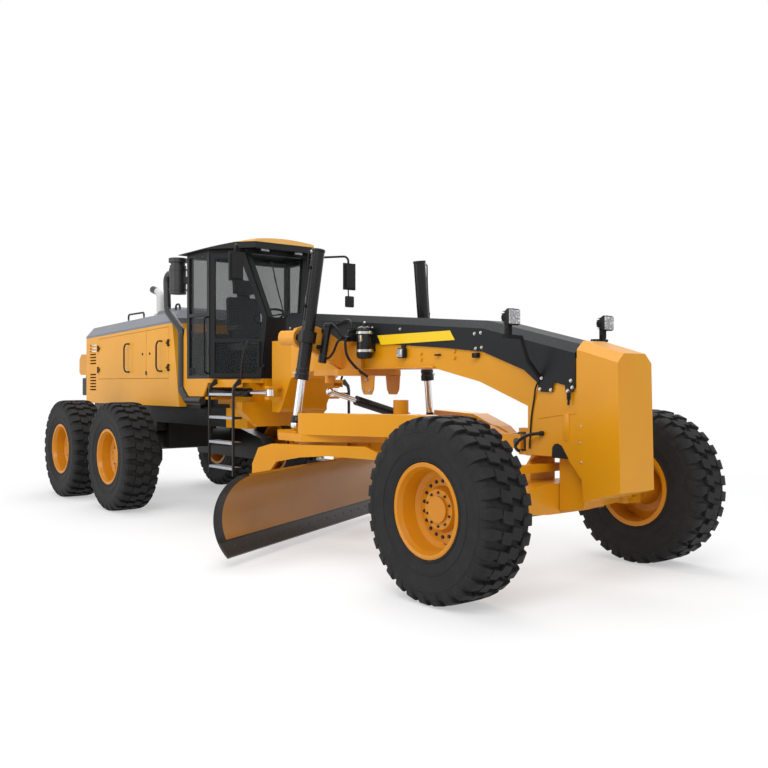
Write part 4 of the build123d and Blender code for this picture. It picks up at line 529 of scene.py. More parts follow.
def spun(profile, centre, axis, steps=48):
    """Turned form: (radius, offset) profile spun round an axis."""
    direction = Vector(axis).normalized()
    turn = direction.to_track_quat("Z", "Y").to_matrix()
    origin = place(*centre)
    mesh = bpy.data.meshes.new("turned")
    points = [origin + turn @ Vector((r / 1000, 0, h / 1000)) for r, h in profile]
    mesh.from_pydata(points, [(i, i + 1) for i in range(len(points) - 1)], [])
    obj = bpy.data.objects.new("turned", mesh)
    bpy.context.collection.objects.link(obj)
    only(obj)
    bpy.ops.object.mode_set(mode="EDIT")
    bpy.ops.mesh.select_all(action="SELECT")
    bpy.ops.mesh.spin(steps=steps, angle=math.tau, center=origin, axis=direction, use_auto_merge=False)
    bpy.ops.mesh.select_all(action="SELECT")
    bpy.ops.mesh.remove_doubles(threshold=0.00005)
    bpy.ops.mesh.normals_make_consistent(inside=False)
    bpy.ops.object.mode_set(mode="OBJECT")
    return obj


def copied(obj, matrix):
    """Copy with its own mesh, moved by a matrix in the row frame."""
    twin = obj.copy()
    twin.data = obj.data.copy()
    bpy.context.collection.objects.link(twin)
    twin.data.transform(matrix)
    if matrix.determinant() < 0:
        twin.data.flip_normals()
    return twin


FLIP = Matrix.Scale(-1, 4, Vector((1, 0, 0)))


def on_side(parts, k):
    """Parts modelled on the right, turned into their mirror images for the left."""
    if k > 0:
        for part in parts:
            part.data.transform(FLIP)
            part.data.flip_normals()
    return parts


def piece(name, parts, body, material, smooth=35):
    """Join parts into one named piece that rides on a body."""
    bpy.ops.object.select_all(action="DESELECT")
    for part in parts:
        part.select_set(True)
    bpy.context.view_layer.objects.active = parts[0]
    if len(parts) > 1:
        bpy.ops.object.join()
    obj = bpy.context.view_layer.objects.active
    obj.name = name
    obj.data.name = name
    obj.data.materials.clear()
    obj.data.materials.append(MAT[material])
    only(obj)
    bpy.ops.object.shade_smooth_by_angle(angle=math.radians(smooth))
    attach(obj, body)
    return obj


def hex_bolt(at, axis, across=22.0, height=12.0):
    """Flanged hexagon head on its washer."""
    direction = Vector(axis).normalized()
    start = Vector(at)
    end = start + direction * height
    washer = start + direction * 3
    disc = round_bar(start, washer, across * 0.72, 0.8, 16)
    head = round_bar(washer, end, across * 0.55, 1.6, 6)
    bpy.ops.object.select_all(action="DESELECT")
    disc.select_set(True)
    head.select_set(True)
    bpy.context.view_layer.objects.active = head
    bpy.ops.object.join()
    return head


# -------------------------------------------------------------------- tyres
PITCHES = 30
PITCH = math.tau / PITCHES


def wheel_point(angle, offset, radius):
    """Point of a wheel at the origin: angle round it, offset along its axle."""
    return Vector((offset, radius * math.sin(angle), radius * math.cos(angle)))


def tread_mesh():
    """Carcass with ribs on its walls, thirty S-shaped centre blocks and shoulder lugs on both sides."""
    bm = bmesh.new()
    # (offset from the mid-plane, radius) from bead to tread, in metres
    wall = [(0.190, 0.3475), (0.199, 0.352), (0.203, 0.362), (0.197, 0.368), (0.204, 0.392), (0.210, 0.420),
            (0.2145, 0.445), (0.2185, 0.447), (0.2185, 0.455), (0.2155, 0.457), (0.2185, 0.500),
            (0.2185, 0.545), (0.2195, 0.560), (0.2215, 0.562), (0.2215, 0.568), (0.2190, 0.570),
            (0.2140, 0.598), (0.2050, 0.622),
            (0.1800, 0.640), (0.1200, 0.644), (0.0, 0.645)]
    ring = wall + [(-u, r) for u, r in reversed(wall[:-1])]
    steps = 96
    rows = []
    for i in range(steps):
        rows.append([bm.verts.new(wheel_point(math.tau * i / steps, u, r)) for u, r in ring])
    for i in range(steps):
        near, far = rows[i], rows[(i + 1) % steps]
        for j in range(len(ring)):
            k = (j + 1) % len(ring)
            bm.faces.new((near[j], near[k], far[k], far[j]))

    def crown(u):
        """Radius of the tread blocks at an offset from the mid-plane."""
        return 0.6748 - 0.02 * (abs(u) / 0.16) ** 4 * 0.12

    def solid(lower, upper):
        """Close a stack of two or more outlines into a block."""
        levels = [[bm.verts.new(p) for p in lower]] + [[bm.verts.new(p) for p in level] for level in upper]
        count = len(lower)
        for under, over in zip(levels, levels[1:]):
            for j in range(count):
                k = (j + 1) % count
                bm.faces.new((under[j], under[k], over[k], over[j]))
        bm.faces.new(levels[0][::-1])
        bm.faces.new(levels[-1])

    # centre block: (share of the pitch, offset) round its outline
    centre = [(0.02, -0.090), (0.34, -0.096), (0.62, -0.082), (0.44, -0.004), (0.76, 0.010), (0.60, 0.090),
              (0.28, 0.096), (0.00, 0.082), (0.16, 0.004), (-0.16, -0.010)]
    mid_share = sum(s for s, u in centre) / len(centre)
    for i in range(PITCHES):
        base, body, top = [], [], []
        for share, u in centre:
            grown = mid_share + (share - mid_share) * 1.10
            shrunk = mid_share + (share - mid_share) * 0.94
            base.append(wheel_point((i + grown) * PITCH, u * 1.04, 0.641))
            body.append(wheel_point((i + share) * PITCH, u, crown(u) - 0.003))
            top.append(wheel_point((i + shrunk) * PITCH, u * 0.97, crown(u)))
        solid(base, [body, top])
        # shoulder lugs: (offset, radius of the outside, radius of the inside, lean of the edges)
        strip = [(0.104, 0.6742, 0.640, 0.10), (0.150, 0.6725, 0.640, 0.04), (0.178, 0.6690, 0.636, 0.0),
                 (0.197, 0.6600, 0.626, 0.0), (0.2120, 0.6380, 0.615, 0.02), (0.2195, 0.6060, 0.600, 0.05),
                 (0.2205, 0.5820, 0.578, 0.09)]
        for side in (-1, 1):
            shift = 0.64 if side < 0 else 0.12
            rows_out, rows_in = [], []
            for u, outer, inner, lean in strip:
                half = 0.31 - lean * 0.5
                lead = (i + shift - half + lean) * PITCH
                trail = (i + shift + half) * PITCH
                soft = 0.012 * PITCH * 2
                in_u = u if u < 0.19 else u - 0.004
                rows_in.append((bm.verts.new(wheel_point(lead - soft, side * in_u, inner)),
                                bm.verts.new(wheel_point(trail + soft, side * in_u, inner))))
                rows_out.append((bm.verts.new(wheel_point(lead + soft, side * u, outer)),
                                 bm.verts.new(wheel_point(trail - soft, side * u, outer))))
            for a, b, c, d in zip(rows_out, rows_out[1:], rows_in, rows_in[1:]):
                bm.faces.new((a[0], a[1], b[1], b[0]))
                bm.faces.new((c[1], c[0], d[0], d[1]))
                bm.faces.new((a[1], c[1], d[1], b[1]))
                bm.faces.new((c[0], a[0], b[0], d[0]))
            bm.faces.new((rows_out[0][1], rows_out[0][0], rows_in[0][0], rows_in[0][1]))
            bm.faces.new((rows_out[-1][0], rows_out[-1][1], rows_in[-1][1], rows_in[-1][0]))
    bmesh.ops.recalc_face_normals(bm, faces=bm.faces)
    mesh = bpy.data.meshes.new("tread")
    bm.to_mesh(mesh)
    bm.free()
    return mesh


TREAD = tread_mesh()


def wheel_body(axle, side):
    """Name of the body that carries a wheel."""
    return f"wheel_{axle}_{side}"


def dress_wheel(axle, side):
    """Tyre, disc bolts, hub bolts and valve of one wheel."""
    k = SIDES[side]
    hub = place(k * WHEEL_X, AXLES[axle], AXLE_Z)
    way = Matrix.Rotation(math.pi if k < 0 else 0, 4, "Z")
    tyre = bpy.data.objects.new("tyre", TREAD.copy())
    bpy.context.collection.objects.link(tyre)
    tyre.data.transform(Matrix.Translation(hub) @ way)
    tyre = piece(f"tread_tyre_{axle}_{side}", [tyre], wheel_body(axle, side), "rubber", 30)
    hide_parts(f"tyre_{axle}_{side}")
    bolts = []
    for count, radius, face, size in ((18, 202.0, 22.0, 20.0), (10, 122.0, 66.0, 15.0)):
        first = hex_bolt((k * (WHEEL_X + face - 1), AXLES[axle], AXLE_Z + radius), (k, 0, 0), size, 15.0)
        for i in range(count):
            turn = (Matrix.Translation(hub) @ Matrix.Rotation(math.tau * i / count, 4, "X")
                    @ Matrix.Translation(-hub))
            bolts.append(copied(first, turn))
        bpy.data.objects.remove(first)
    piece(f"wheel_bolts_{axle}_{side}", bolts, wheel_body(axle, side), "dark_bolt")
    y, z = AXLES[axle], AXLE_Z
    valve = pipe([(k * (WHEEL_X + 96), y - 150, z - 232), (k * (WHEEL_X + 120), y - 146, z - 226),
                  (k * (WHEEL_X + 150), y - 138, z - 214)], 5.0)
    piece(f"valve_{axle}_{side}", [valve], wheel_body(axle, side), "bolt")


for axle in AXLES:
    for side in SIDES:
        dress_wheel(axle, side)


# --------------------------------------------------------- beam and column
def both_sides(parts):
    """The parts and their mirror images."""
    return parts + [copied(part, FLIP) for part in parts]


def beam_fittings():
    """Plates, bolts, brackets, bosses, cables and lamps along the gooseneck."""
    x = -COVER_X
    plate = sheet_metal([(x, 2069, 2050), (x, 1027, 2050), (x, 963, 1963), (x, 2010, 1955)], (-5, 0, 0))
    piece("cover_plates", both_sides([plate]), "front_frame", "plate")

    # tabs that hang from the cover's lower edge, with a plug socket by the front one
    tabs = [sheet_metal([(x, 6, 1600), (x, -8, 1549), (x, -30, 1516), (x, -155, 1514), (x, -168, 1600)],
                        (-4, 0, 0)),
            sheet_metal([(x, -274, 1570), (x, -278, 1528), (x, -360, 1512), (x, -366, 1560)], (-4, 0, 0)),
            round_bar((x - 14, -323, 1512), (x - 14, -321, 1456), 15, 3),
            round_bar((x - 14, -321, 1458), (x - 14, -319, 1416), 9, 2),
            block((-BEAM_X - 40, 664, 1800), (-BEAM_X, 728, 1842), 5),
            block((-BEAM_X - 36, 1160, 1830), (-BEAM_X, 1215, 1845), 3)]
    piece("cover_tabs", both_sides(tabs), "front_frame", "black")

    bolts = []
    for y, z in ((718, 2007), (643, 2012), (703, 1880), (631, 1886), (2150, 2130), (1720, 2095), (3300, 2180),
                 (3300, 2100), (3650, 2200), (3650, 2120)):
        bolts.append(hex_bolt((x, y, z), (-1, 0, 0), 20))
    for y, z in ((-40, 1623), (-24, 1536), (-136, 1530), (-335, 1602), (-348, 1550), (-305, 1524)):
        bolts.append(hex_bolt((x - 4, y, z), (-1, 0, 0), 20))
    for y, z in ((-419, 1257), (-419, 982), (-412, 1128)):
        bolts.append(hex_bolt((-NOSE_X, y, z), (-1, 0, 0), 13, 7))
    piece("beam_bolts", both_sides(bolts), "front_frame", "bolt")

    # painted bosses, weld beads and cover plates on the beam's and the column's flanks
    raised = []
    for y, z in ((1425, 1855), (1425, 1802), (978, 1865), (978, 1806)):
        raised.append(hex_bolt((-BEAM_X, y, z), (-1, 0, 0), 24, 16))
    raised.append(pipe([(-BEAM_X - 1, 5, 1306), (-BEAM_X - 1, -180, 1334), (-BEAM_X - 1, -378, 1356)], 5))
    raised.append(block((-BEAM_X - 7, -305, 1140), (-BEAM_X + 2, -250, 1350), 3))
    raised.append(block((-BEAM_X - 30, 1240, 1724), (-BEAM_X - 1, 2280, 1738), 3))
    piece("beam_raised_details", both_sides(raised), "front_frame", "yellow")

    # steering hose out of its socket, and the arched pocket under it
    hose = [round_bar((-BEAM_X - 36, -37, 1187), (-BEAM_X + 4, -37, 1187), 19, 4),
            pipe([(-BEAM_X - 30, -37, 1187), (-BEAM_X - 62, -30, 1187), (-BEAM_X - 80, 60, 1172),
                  (-BEAM_X - 84, 150, 1120), (-BEAM_X - 60, 215, 1062), (-BEAM_X + 20, 240, 1030)], 13)]
    arch = sheet_metal([(-BEAM_X - 1, -132, 1002), (-BEAM_X - 1, -136, 1080), (-BEAM_X - 1, -158, 1108),
                        (-BEAM_X - 1, -190, 1116), (-BEAM_X - 1, -232, 1100), (-BEAM_X - 1, -300, 1000)],
                       (-3, 0, 0))
    piece("column_hoses", both_sides(hose + [arch]), "front_frame", "hose")

    # lamp cable down the column from the foot of the lamp's bar
    cable = [(x - 8, -20, 1606), (x - 10, 19, 1559), (-BEAM_X - 8, 40, 1480), (-BEAM_X - 7, 85, 1289),
             (-BEAM_X - 7, 95, 1060)]
    piece("lamp_cables", both_sides([pipe(cable, 7)]), "front_frame", "hose")

    # service lamp under the cover's flank
    for name, parts, slot, finish in (
            ("flank_lamps", [block((-BEAM_X - 60, 1625, 1820), (-BEAM_X - 6, 1720, 1915), 12),
                             block((-BEAM_X - 20, 1650, 1905), (-BEAM_X, 1700, 1960), 4)],
             "black_plastic", "plastic"),
            ("flank_lamp_lenses", [block((-BEAM_X - 66, 1634, 1829), (-BEAM_X - 59, 1711, 1906), 3)],
             "clear_glass", "lens")):
        piece(name, both_sides(parts), "front_frame", finish)


def hydraulics():
    """Accumulator, valves, lock cylinder, hoses and hanger plates round the saddle, on the right."""
    can_x, can_y = -BEAM_X - 104, 2158
    can = [spun([(0, 0), (58, 0), (76, 12), (80, 34), (80, 276), (74, 300), (46, 316), (0, 318)],
                (can_x, can_y, 1824), (0, 0, 1)),
           round_bar((can_x, can_y, 2140), (can_x, can_y, 2170), 24, 3),
           block((-BEAM_X - 34, can_y - 44, 1900), (-BEAM_X, can_y + 44, 2060), 5)]
    piece("accumulator_can", can, "front_frame", "barrel")
    bands = []
    for z in (1888, 2064):
        hoop = [(80.5, 0), (86, 0), (86, 24), (80.5, 24), (80.5, 0)]
        bands.append(spun(hoop, (can_x, can_y, z), (0, 0, 1)))
        bands.append(block((can_x - 14, can_y - 104, z - 3), (can_x + 14, can_y - 80, z + 27), 4))
    bands.append(round_bar((can_x, can_y, 2168), (can_x, can_y, 2188), 15, 3, 6))
    bands.append(block((can_x - 82, can_y - 46, 1985), (can_x - 62, can_y - 6, 2050), 3))
    piece("accumulator_bands", bands, "front_frame", "bolt")
    valves = [block((-BEAM_X - 140, 2330, 2000), (-BEAM_X - 56, 2450, 2080), 8),
              block((-BEAM_X - 120, 2350, 2078), (-BEAM_X - 60, 2430, 2120), 6)]
    for i in range(3):
        side_y, top_y = 2350 + i * 38, 2352 + i * 36
        valves.append(round_bar((-BEAM_X - 138, side_y, 2040), (-BEAM_X - 176, side_y, 2040), 15, 3, 6))
        valves.append(round_bar((-BEAM_X - 90, top_y, 2110), (-BEAM_X - 90, top_y, 2146), 12, 3, 6))
    top, foot = Vector((-490, 2525, 2151)), Vector((-556, 2525, 1796))
    way = (foot - top).normalized()
    valves.append(round_bar(top, foot, 38, 4, 32))
    valves.append(round_bar(top - way * 26, top + way * 14, 44, 5, 32))
    valves.append(round_bar(foot - way * 60, foot + way * 10, 43, 5, 32))
    valves.append(block((-520, 2545, 2085), (-455, 2594, 2130), 5))
    valves.append(block((-580, 2545, 1925), (-520, 2594, 1965), 5))
    piece("valves_and_lock", valves, "front_frame", "barrel")
    hoses = [pipe([(-BEAM_X - 170, 2350, 2040), (-BEAM_X - 205, 2350, 2030), (-BEAM_X - 190, 2350, 1860),
                   (-BEAM_X - 120, 2330, 1770), (-BEAM_X - 60, 2290, 1700), (-BEAM_X - 20, 2220, 1650)], 13),
             pipe([(-BEAM_X - 170, 2388, 2040), (-BEAM_X - 215, 2388, 2035), (-BEAM_X - 240, 2420, 2120),
                   (-478, 2500, 2190), (-487, 2520, 2172)], 12),
             pipe([(-BEAM_X - 170, 2426, 2040), (-BEAM_X - 230, 2426, 2020), (-BEAM_X - 250, 2470, 1900),
                   (-500, 2500, 1820), (-548, 2518, 1830)], 12),
             pipe([(-BEAM_X - 90, 2388, 2140), (-BEAM_X - 90, 2400, 2190), (-BEAM_X - 70, 2480, 2230),
                   (-BEAM_X - 40, 2700, 2200), (-BEAM_X - 40, 3150, 2120)], 12)]
    piece("saddle_hoses", hoses, "front_frame", "hose")
    hangers = [sheet_metal([(-172, 2185, 1664), (-172, 2405, 1664), (-172, 2385, 1520), (-172, 2350, 1470),
                            (-172, 2235, 1470), (-172, 2200, 1520)], (20, 0, 0), 3)]
    piece("hanger_plates", both_sides(hangers), "front_frame", "saddle")
    bolts = [hex_bolt((-172, y, z), (-1, 0, 0), 24, 16)
             for y, z in ((2240, 1510), (2345, 1510), (2292, 1620))]
    piece("hanger_bolts", both_sides(bolts), "front_frame", "bolt")


LAMP = (574.0, -23.0, 2088.0)


def front_lamp_fronts():
    """Square-cornered bezel, lens, reflectors and cooling ribs of the two work lamps."""
    x, y, z = -LAMP[0], LAMP[1], LAMP[2]
    shell = [block((x - 70, y - 62, z - 64), (x + 70, y - 30, z + 64), 24), block((x - 60, y - 34, z - 54),
                                                                                 (x + 60, y - 8, z + 54), 14)]
    for i in range(6):
        h = z - 45 + i * 18
        half = 26 + math.sqrt(max(0, 46 ** 2 - (h - z) ** 2)) * 0.5
        shell.append(block((x - half, y - 10, h - 2.5), (x + half, y + 34, h + 2.5), 1))
    for k in (-1, 1):
        shell.append(block((x + k * 20 - 4, y - 16, z - 130), (x + k * 20 + 4, y + 22, z - 58), 2))
    shell.append(round_bar((x - 34, y + 2, z - 96), (x + 34, y + 2, z - 96), 12, 2))
    piece("work_lamp_shells", both_sides(shell), "front_frame", "plastic")
    glass_parts = [block((x - 60, y - 67, z - 54), (x + 60, y - 60, z + 54), 3)]
    for i in (-1, 0, 1):
        for j in (-1, 1):
            cup = [(8, 0), (16, 5), (18, 5), (18, 0), (8, 0)]
            glass_parts.append(spun(cup, (x + i * 37, y - 66, z + j * 25), (0, -1, 0), 20))
    piece("work_lamp_lenses", both_sides(glass_parts), "front_frame", "lens")


beam_fittings()
hydraulics()
front_lamp_fronts()


# ----------------------------------------------------- lift cylinder fittings
LIFT_EYE = Vector((-870.0, 2520.0, 1180.0))
LIFT_TOP = Vector((-650.0, 2450.0, 2890.0))
LIFT_WAY = (LIFT_TOP - LIFT_EYE).normalized()


def on_lift(distance, out=0.0):
    """Point along the right lift cylinder, moved out from its axis."""
    across = LIFT_WAY.cross(Vector((0, 1, 0))).normalized()
    return LIFT_EYE + LIFT_WAY * distance + across * out


def dress_lift(side):
    """Rings, ports, return line, clips and eye socket of a lift cylinder."""
    k = SIDES[side]
    gland = (LIFT_TOP - LIFT_EYE).length - LIFT_BARREL_LEN
    rings = []
    for start, length, radius in ((gland - 14, 60, 70), (gland + 70, 26, 68), (gland + 1246, 28, 69)):
        rings.append(spun([(39.5, 0), (radius - 4, 0), (radius, 5), (radius, length - 5), (radius - 4, length),
                           (64.5 if start > gland else 39.5, length)], on_lift(start), LIFT_WAY, 40))
    top = spun([(0, 6), (30, 6), (52, 2), (62, -4)], on_lift(gland + 1272), LIFT_WAY, 40)
    rings.append(top)
    ports = [round_bar(on_lift(gland + 40, 66), on_lift(gland + 40, 100), 16, 2, 6),
             round_bar(on_lift(gland + 1235, 60), on_lift(gland + 1235, 92), 15, 2, 6)]
    line = pipe([on_lift(gland + 1235, 86), on_lift(gland + 1236, 106), on_lift(gland + 1180, 104),
                 on_lift(gland + 1000, 88), on_lift(gland + 620, 88), on_lift(gland + 560, 80)], 8)
    corner = Vector((8, 18, 12))
    clips = [block(on_lift(gland + d, 62) - corner, on_lift(gland + d, 96) + corner, 3)
             for d in (1080, 700)]
    on_side(rings + ports + clips + [line], k)
    socket = spun([(0, 6), (30, 12), (50.5, 20), (54, 28), (54, 40), (50, 58), (40.5, 74), (40.5, 92),
                   (38.4, 92), (38.4, 60), (0, 20)], on_lift(0), LIFT_WAY, 40)
    piece(f"lift_socket_{side}", on_side([socket], k), f"lift_rod_{side}", "barrel")
    body = f"lift_barrel_{side}"
    piece(f"lift_barrel_rings_{side}", rings, body, "barrel")
    piece(f"lift_ports_{side}", ports, body, "bolt")
    piece(f"lift_line_{side}", [line] + clips, body, "black")


for side in SIDES:
    dress_lift(side)


# ---------------------------------------------------------------------- cab
def soft_pad(name, lo, hi, tilt, channels):
    """Crowned cushion with sewn channels, tilted about its lower rear edge."""
    a, b = place(*lo), place(*hi)
    bpy.ops.mesh.primitive_cube_add(size=1, location=(a + b) / 2)
    obj = bpy.context.object
    obj.scale = [abs(v) for v in (b - a)]
    settle(obj)
    only(obj)
    bpy.ops.object.mode_set(mode="EDIT")
    bpy.ops.mesh.select_all(action="SELECT")
    bpy.ops.mesh.subdivide(number_cuts=9)
    bpy.ops.object.mode_set(mode="OBJECT")
    size = b - a
    middle = (a + b) / 2
    thin = min(range(3), key=lambda i: abs(size[i]))
    wide = [i for i in range(3) if i != thin]
    for vertex in obj.data.vertices:
        rel = [2 * (vertex.co[i] - middle[i]) / abs(size[i]) for i in range(3)]
        crown = (1 - abs(rel[wide[0]]) ** 3) * (1 - abs(rel[wide[1]]) ** 3)
        pinch = 1 - 0.35 * (1 - crown)
        vertex.co[thin] = middle[thin] + (vertex.co[thin] - middle[thin]) * pinch
        for i in wide:
            vertex.co[i] = middle[i] + (vertex.co[i] - middle[i]) * (1 - 0.05 * (1 - abs(rel[thin]) ** 2)
                                                                     * abs(rel[i]) ** 4)
        groove = min([abs(rel[0] - c) for c in channels] or [1])
        if groove < 0.09 and abs(rel[thin]) > 0.8:
            vertex.co[thin] -= math.copysign(0.008 * (1 - groove / 0.09), rel[thin])
    subdivision = obj.modifiers.new("soft", "SUBSURF")
    subdivision.levels = 1
    subdivision.render_levels = 1
    bpy.ops.object.modifier_apply(modifier="soft")
    if tilt:
        pivot = Vector((0, b.y, a.z))
        obj.data.transform(Matrix.Translation(pivot) @ Matrix.Rotation(math.radians(tilt), 4, "X")
                           @ Matrix.Translation(-pivot))
    obj = piece(name, [obj], "rear_frame", "fabric", 60)
    return obj


def cab_inside():
    """Suspension seat with arm pads, column, wheel and lever pods."""
    soft_pad("seat_cushion", (-245, 4630, 1985), (245, 5040, 2085), 0, (-0.45, 0.45))
    soft_pad("seat_back", (-230, 5010, 2095), (230, 5090, 2660), -5, (-0.5, 0.5))
    soft_pad("seat_headrest", (-140, 5045, 2700), (140, 5125, 2875), -5, ())
    for k in (-1, 1):
        x0, x1 = sorted((k * 255, k * 320))
        soft_pad(f"armrest_{'right' if k < 0 else 'left'}", (x0, 4640, 2240), (x1, 4960, 2285), 0, ())
    base = [block((-175, 4700, 1690), (175, 5000, 1800), 12),
            sheet_metal([(-150, 4720, 1800), (-150, 4980, 1800), (-165, 5010, 1985), (-165, 4690, 1985)],
                        (310, 0, 0), 8),
            block((-90, 5080, 2560), (90, 5100, 2760), 8)]
    for k in (-1, 1):
        base.append(block((k * 266 - 20, 4930, 2060), (k * 266 + 20, 4970, 2245), 8))
        base.append(block((k * 95 - 35, 4395, 2170), (k * 95 + 35, 4455, 2290), 10))
        for i in range(3):
            x = k * (75 + i * 20)
            base.append(round_bar((x, 4420, 2285), (x, 4425, 2345), 4, 1, 10))
            base.append(spun([(0, 0), (8, 3), (10, 12), (7, 22), (0, 26)], (x, 4425, 2340), (0, 0, 1), 16))
    column = sheet_metal([(-65, 4305, 1685), (-65, 4420, 1685), (-65, 4495, 2370), (-65, 4435, 2370)],
                         (130, 0, 0), 10)
    screen = block((170, 4290, 2190), (380, 4320, 2340), 8)
    stand = round_bar((275, 4330, 1685), (275, 4308, 2200), 14, 2)
    body = piece("cab_furniture", base + [column, screen, stand], "rear_frame", "plastic")
    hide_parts("cab_interior")
    tilt = Vector((0, 0.45, 1)).normalized()
    ring = []
    for i in range(13):
        a = math.tau * i / 12
        ring.append((178 + 14 * math.cos(a), 14 * math.sin(a)))
    wheel = [spun(ring, (0, 4470, 2392), tilt, 56), spun([(0, 16), (44, 12), (52, 0), (44, -14), (0, -18)],
                                                        (0, 4470, 2385), tilt, 32)]
    for a in (90, 210, 330):
        turn = Matrix.Rotation(math.radians(a), 3, tilt)
        spoke = turn @ Vector((1, 0, 0))
        spoke = (spoke - tilt * spoke.dot(tilt)).normalized()
        centre = Vector((0, 4470, 2388))
        wheel.append(round_bar(centre + spoke * 40, centre + spoke * 172, 9, 2, 12))
    piece("steering_wheel", wheel, "rear_frame", "plastic")


def cab_outside():
    """Header lamps, aerial stub, wiper, mirror glasses, wide mirror and grab rails."""
    dark, glassy = [], []
    for x, y in ((-229, 4196), (229, 4196)):
        dark.append(block((x - 62, y - 26, 3108), (x + 62, y + 34, 3192), 10))
        glassy.append(block((x - 52, y - 31, 3118), (x + 52, y - 25, 3182), 4))
    for x in (-560, 560):
        dark.append(block((x - 62, 5250, 3108), (x + 62, 5305, 3192), 10))
        glassy.append(block((x - 52, 5303, 3118), (x + 52, 5309, 3182), 4))
    dark.append(round_bar((-322, 4400, 3222), (-322, 4400, 3262), 12, 2))
    piece("cab_header_lamps", dark, "rear_frame", "plastic")
    piece("cab_lamp_lenses", glassy, "rear_frame", "lens")
    wiper = [pipe([(-40, 4076, 2395), (-60, 4060, 2470), (-150, 4105, 2830)], 6),
             round_bar((-40, 4085, 2392), (-40, 4058, 2392), 16, 2, 16),
             pipe([(-95, 4062, 2560), (-128, 4084, 2720), (-170, 4128, 3000)], 7)]
    piece("front_wiper", wiper, "rear_frame", "plastic")
    panes = []
    for k in (-1, 1):
        panes.append(block((k * 770 - 76, 3905 - 8.5, 2880 - 158), (k * 770 + 76, 3905 - 4, 2880 + 138), 4))
    piece("mirror_glasses", panes, "rear_frame", "chrome")
    small = []
    x = 770
    small.append(pipe([(x, 3905, 2715), (x, 3905, 2660), (x, 3898, 2630)], 8))
    small.append(block((x - 62, 3862, 2500), (x + 62, 3898, 2636), 14))
    piece("wide_mirror_left", small, "rear_frame", "plastic")
    piece("wide_mirror_glass_left", [block((x - 54, 3897.5, 2508), (x + 54, 3902, 2628), 5)], "rear_frame",
          "chrome")
    rails = []
    for k in (-1, 1):
        rails.append(pipe([(k * 672, 3918, 1625), (k * 700, 3900, 1700), (k * 640, 3925, 1980),
                           (k * 560, 3990, 2060)], 13))
        rails.append(pipe([(k * 722, 4640, 1700), (k * 768, 4640, 1705), (k * 768, 4640, 1760),
                           (k * 768, 4640, 2300), (k * 768, 4640, 2355), (k * 722, 4640, 2360)], 11))
    piece("grab_rails", rails, "rear_frame", "black")


cab_inside()
cab_outside()


# --------------------------------------------------------------------- hood
def shoulder(y):
    """Height of the hood's side at y."""
    return SHOULDER_Z - SHOULDER_FALL * (y - HOOD_FRONT_Y) / (HOOD_REAR_Y - HOOD_FRONT_Y)


def hood_fittings():
    """Locks, side grilles, tail lamps with their ribs, top hatches and their handles."""
    locks, grilles, rears, hatch = [], [], [], []
    for k in (-1, 1):
        for y in (6560, 6800):
            locks.append(round_bar((k * 597, y, 1985), (k * 608, y, 1985), 17, 3, 20))
        locks.append(block((min(k * 597, k * 606), 6655, 1700), (max(k * 597, k * 606), 6705, 1752), 6))
        near, far = sorted((k * 720, k * 726))
        for i in range(5):
            z = 1700 + i * 15
            grilles.append(block((near, 5042, z), (far, 5110, z + 8), 1.5))
        for i in range(6):
            z = 1430 + i * 38
            rears.append(block((min(k * 398, k * 592), 9136, z), (max(k * 398, k * 592), 9152, z + 22), 3))
    piece("hood_locks", locks, "rear_frame", "black")
    piece("side_grilles", grilles, "rear_frame", "black")
    piece("tail_lamp_ribs", rears, "rear_frame", "cast")
    lamps = [block((k * 500 - 60, 9257, 1850), (k * 500 + 60, 9259.5, 1930), 8) for k in (-1, 1)]
    piece("tail_lamps", lamps, "rear_frame", "red")
    # two hatches on the grey top
    for y0, y1, x0, x1 in ((6950, 7120, -300, 300), (7750, 8500, -340, 340)):
        z0, z1 = shoulder(y0) + HOOD_CROWN, shoulder(y1) + HOOD_CROWN
        hatch.append(sheet_metal([(x0, y0, z0 - 2), (x1, y0, z0 - 2), (x1, y1, z1 - 2), (x0, y1, z1 - 2)],
                                 (0, 0, 12), 5))
    piece("top_hatches", hatch, "rear_frame", "grey")
    handles = []
    for y in (6985, 8440):
        z = shoulder(y) + HOOD_CROWN + 15
        handles.append(block((-24, y - 20, z - 6), (24, y + 20, z + 6), 4))
    piece("hatch_handles", handles, "rear_frame", "black")


hood_fittings()


# ------------------------------------------------------------ blade details
def on_blade(u, t, z):
    """Point in the blade's own axes: along it, behind the circle's middle, height."""
    c, s = math.cos(BLADE_TURN), math.sin(BLADE_TURN)
    return Vector((BLADE_CENTRE[0] + u * c - t * s, BLADE_CENTRE[1] + u * s + t * c, z))


def blade_fittings():
    """Bolt row along the cutting edge."""
    face = on_blade(0, -1, 0) - on_blade(0, 0, 0)
    bolts = []
    count = 22
    for i in range(count):
        u = BLADE_SHIFT - BLADE_HALF + 110 + i * (2 * BLADE_HALF - 220) / (count - 1)
        bolts.append(hex_bolt(on_blade(u, 449, 178), face, 17, 8))
    piece("edge_bolts", bolts, "blade", "edge")


blade_fittings()


# -------------------------------------------------------- camera and studio
FLOOR_GLOW = 0.45            # share of plain white in the floor near the machine
GLOW_START, GLOW_RUN = 4.5, 5.0
WORLD_LIGHT = 0.48
CAMERA_SPOT = (-5.5276, -8.9851, 1.5767)
CAMERA_TURN = math.radians(38.366)
CAMERA_LENS = 41.5
# name, place, width, watts
STUDIO_LAMPS = (("key_lamp", (-9.0, -11.0, 12.0), 9.0, 1350.0), ("top_lamp", (2.0, 1.0, 14.0), 12.0, 1150.0),
                ("side_lamp", (-13.0, 3.0, 5.0), 8.0, 450.0), ("back_lamp", (9.0, 11.0, 8.0), 8.0, 450.0))


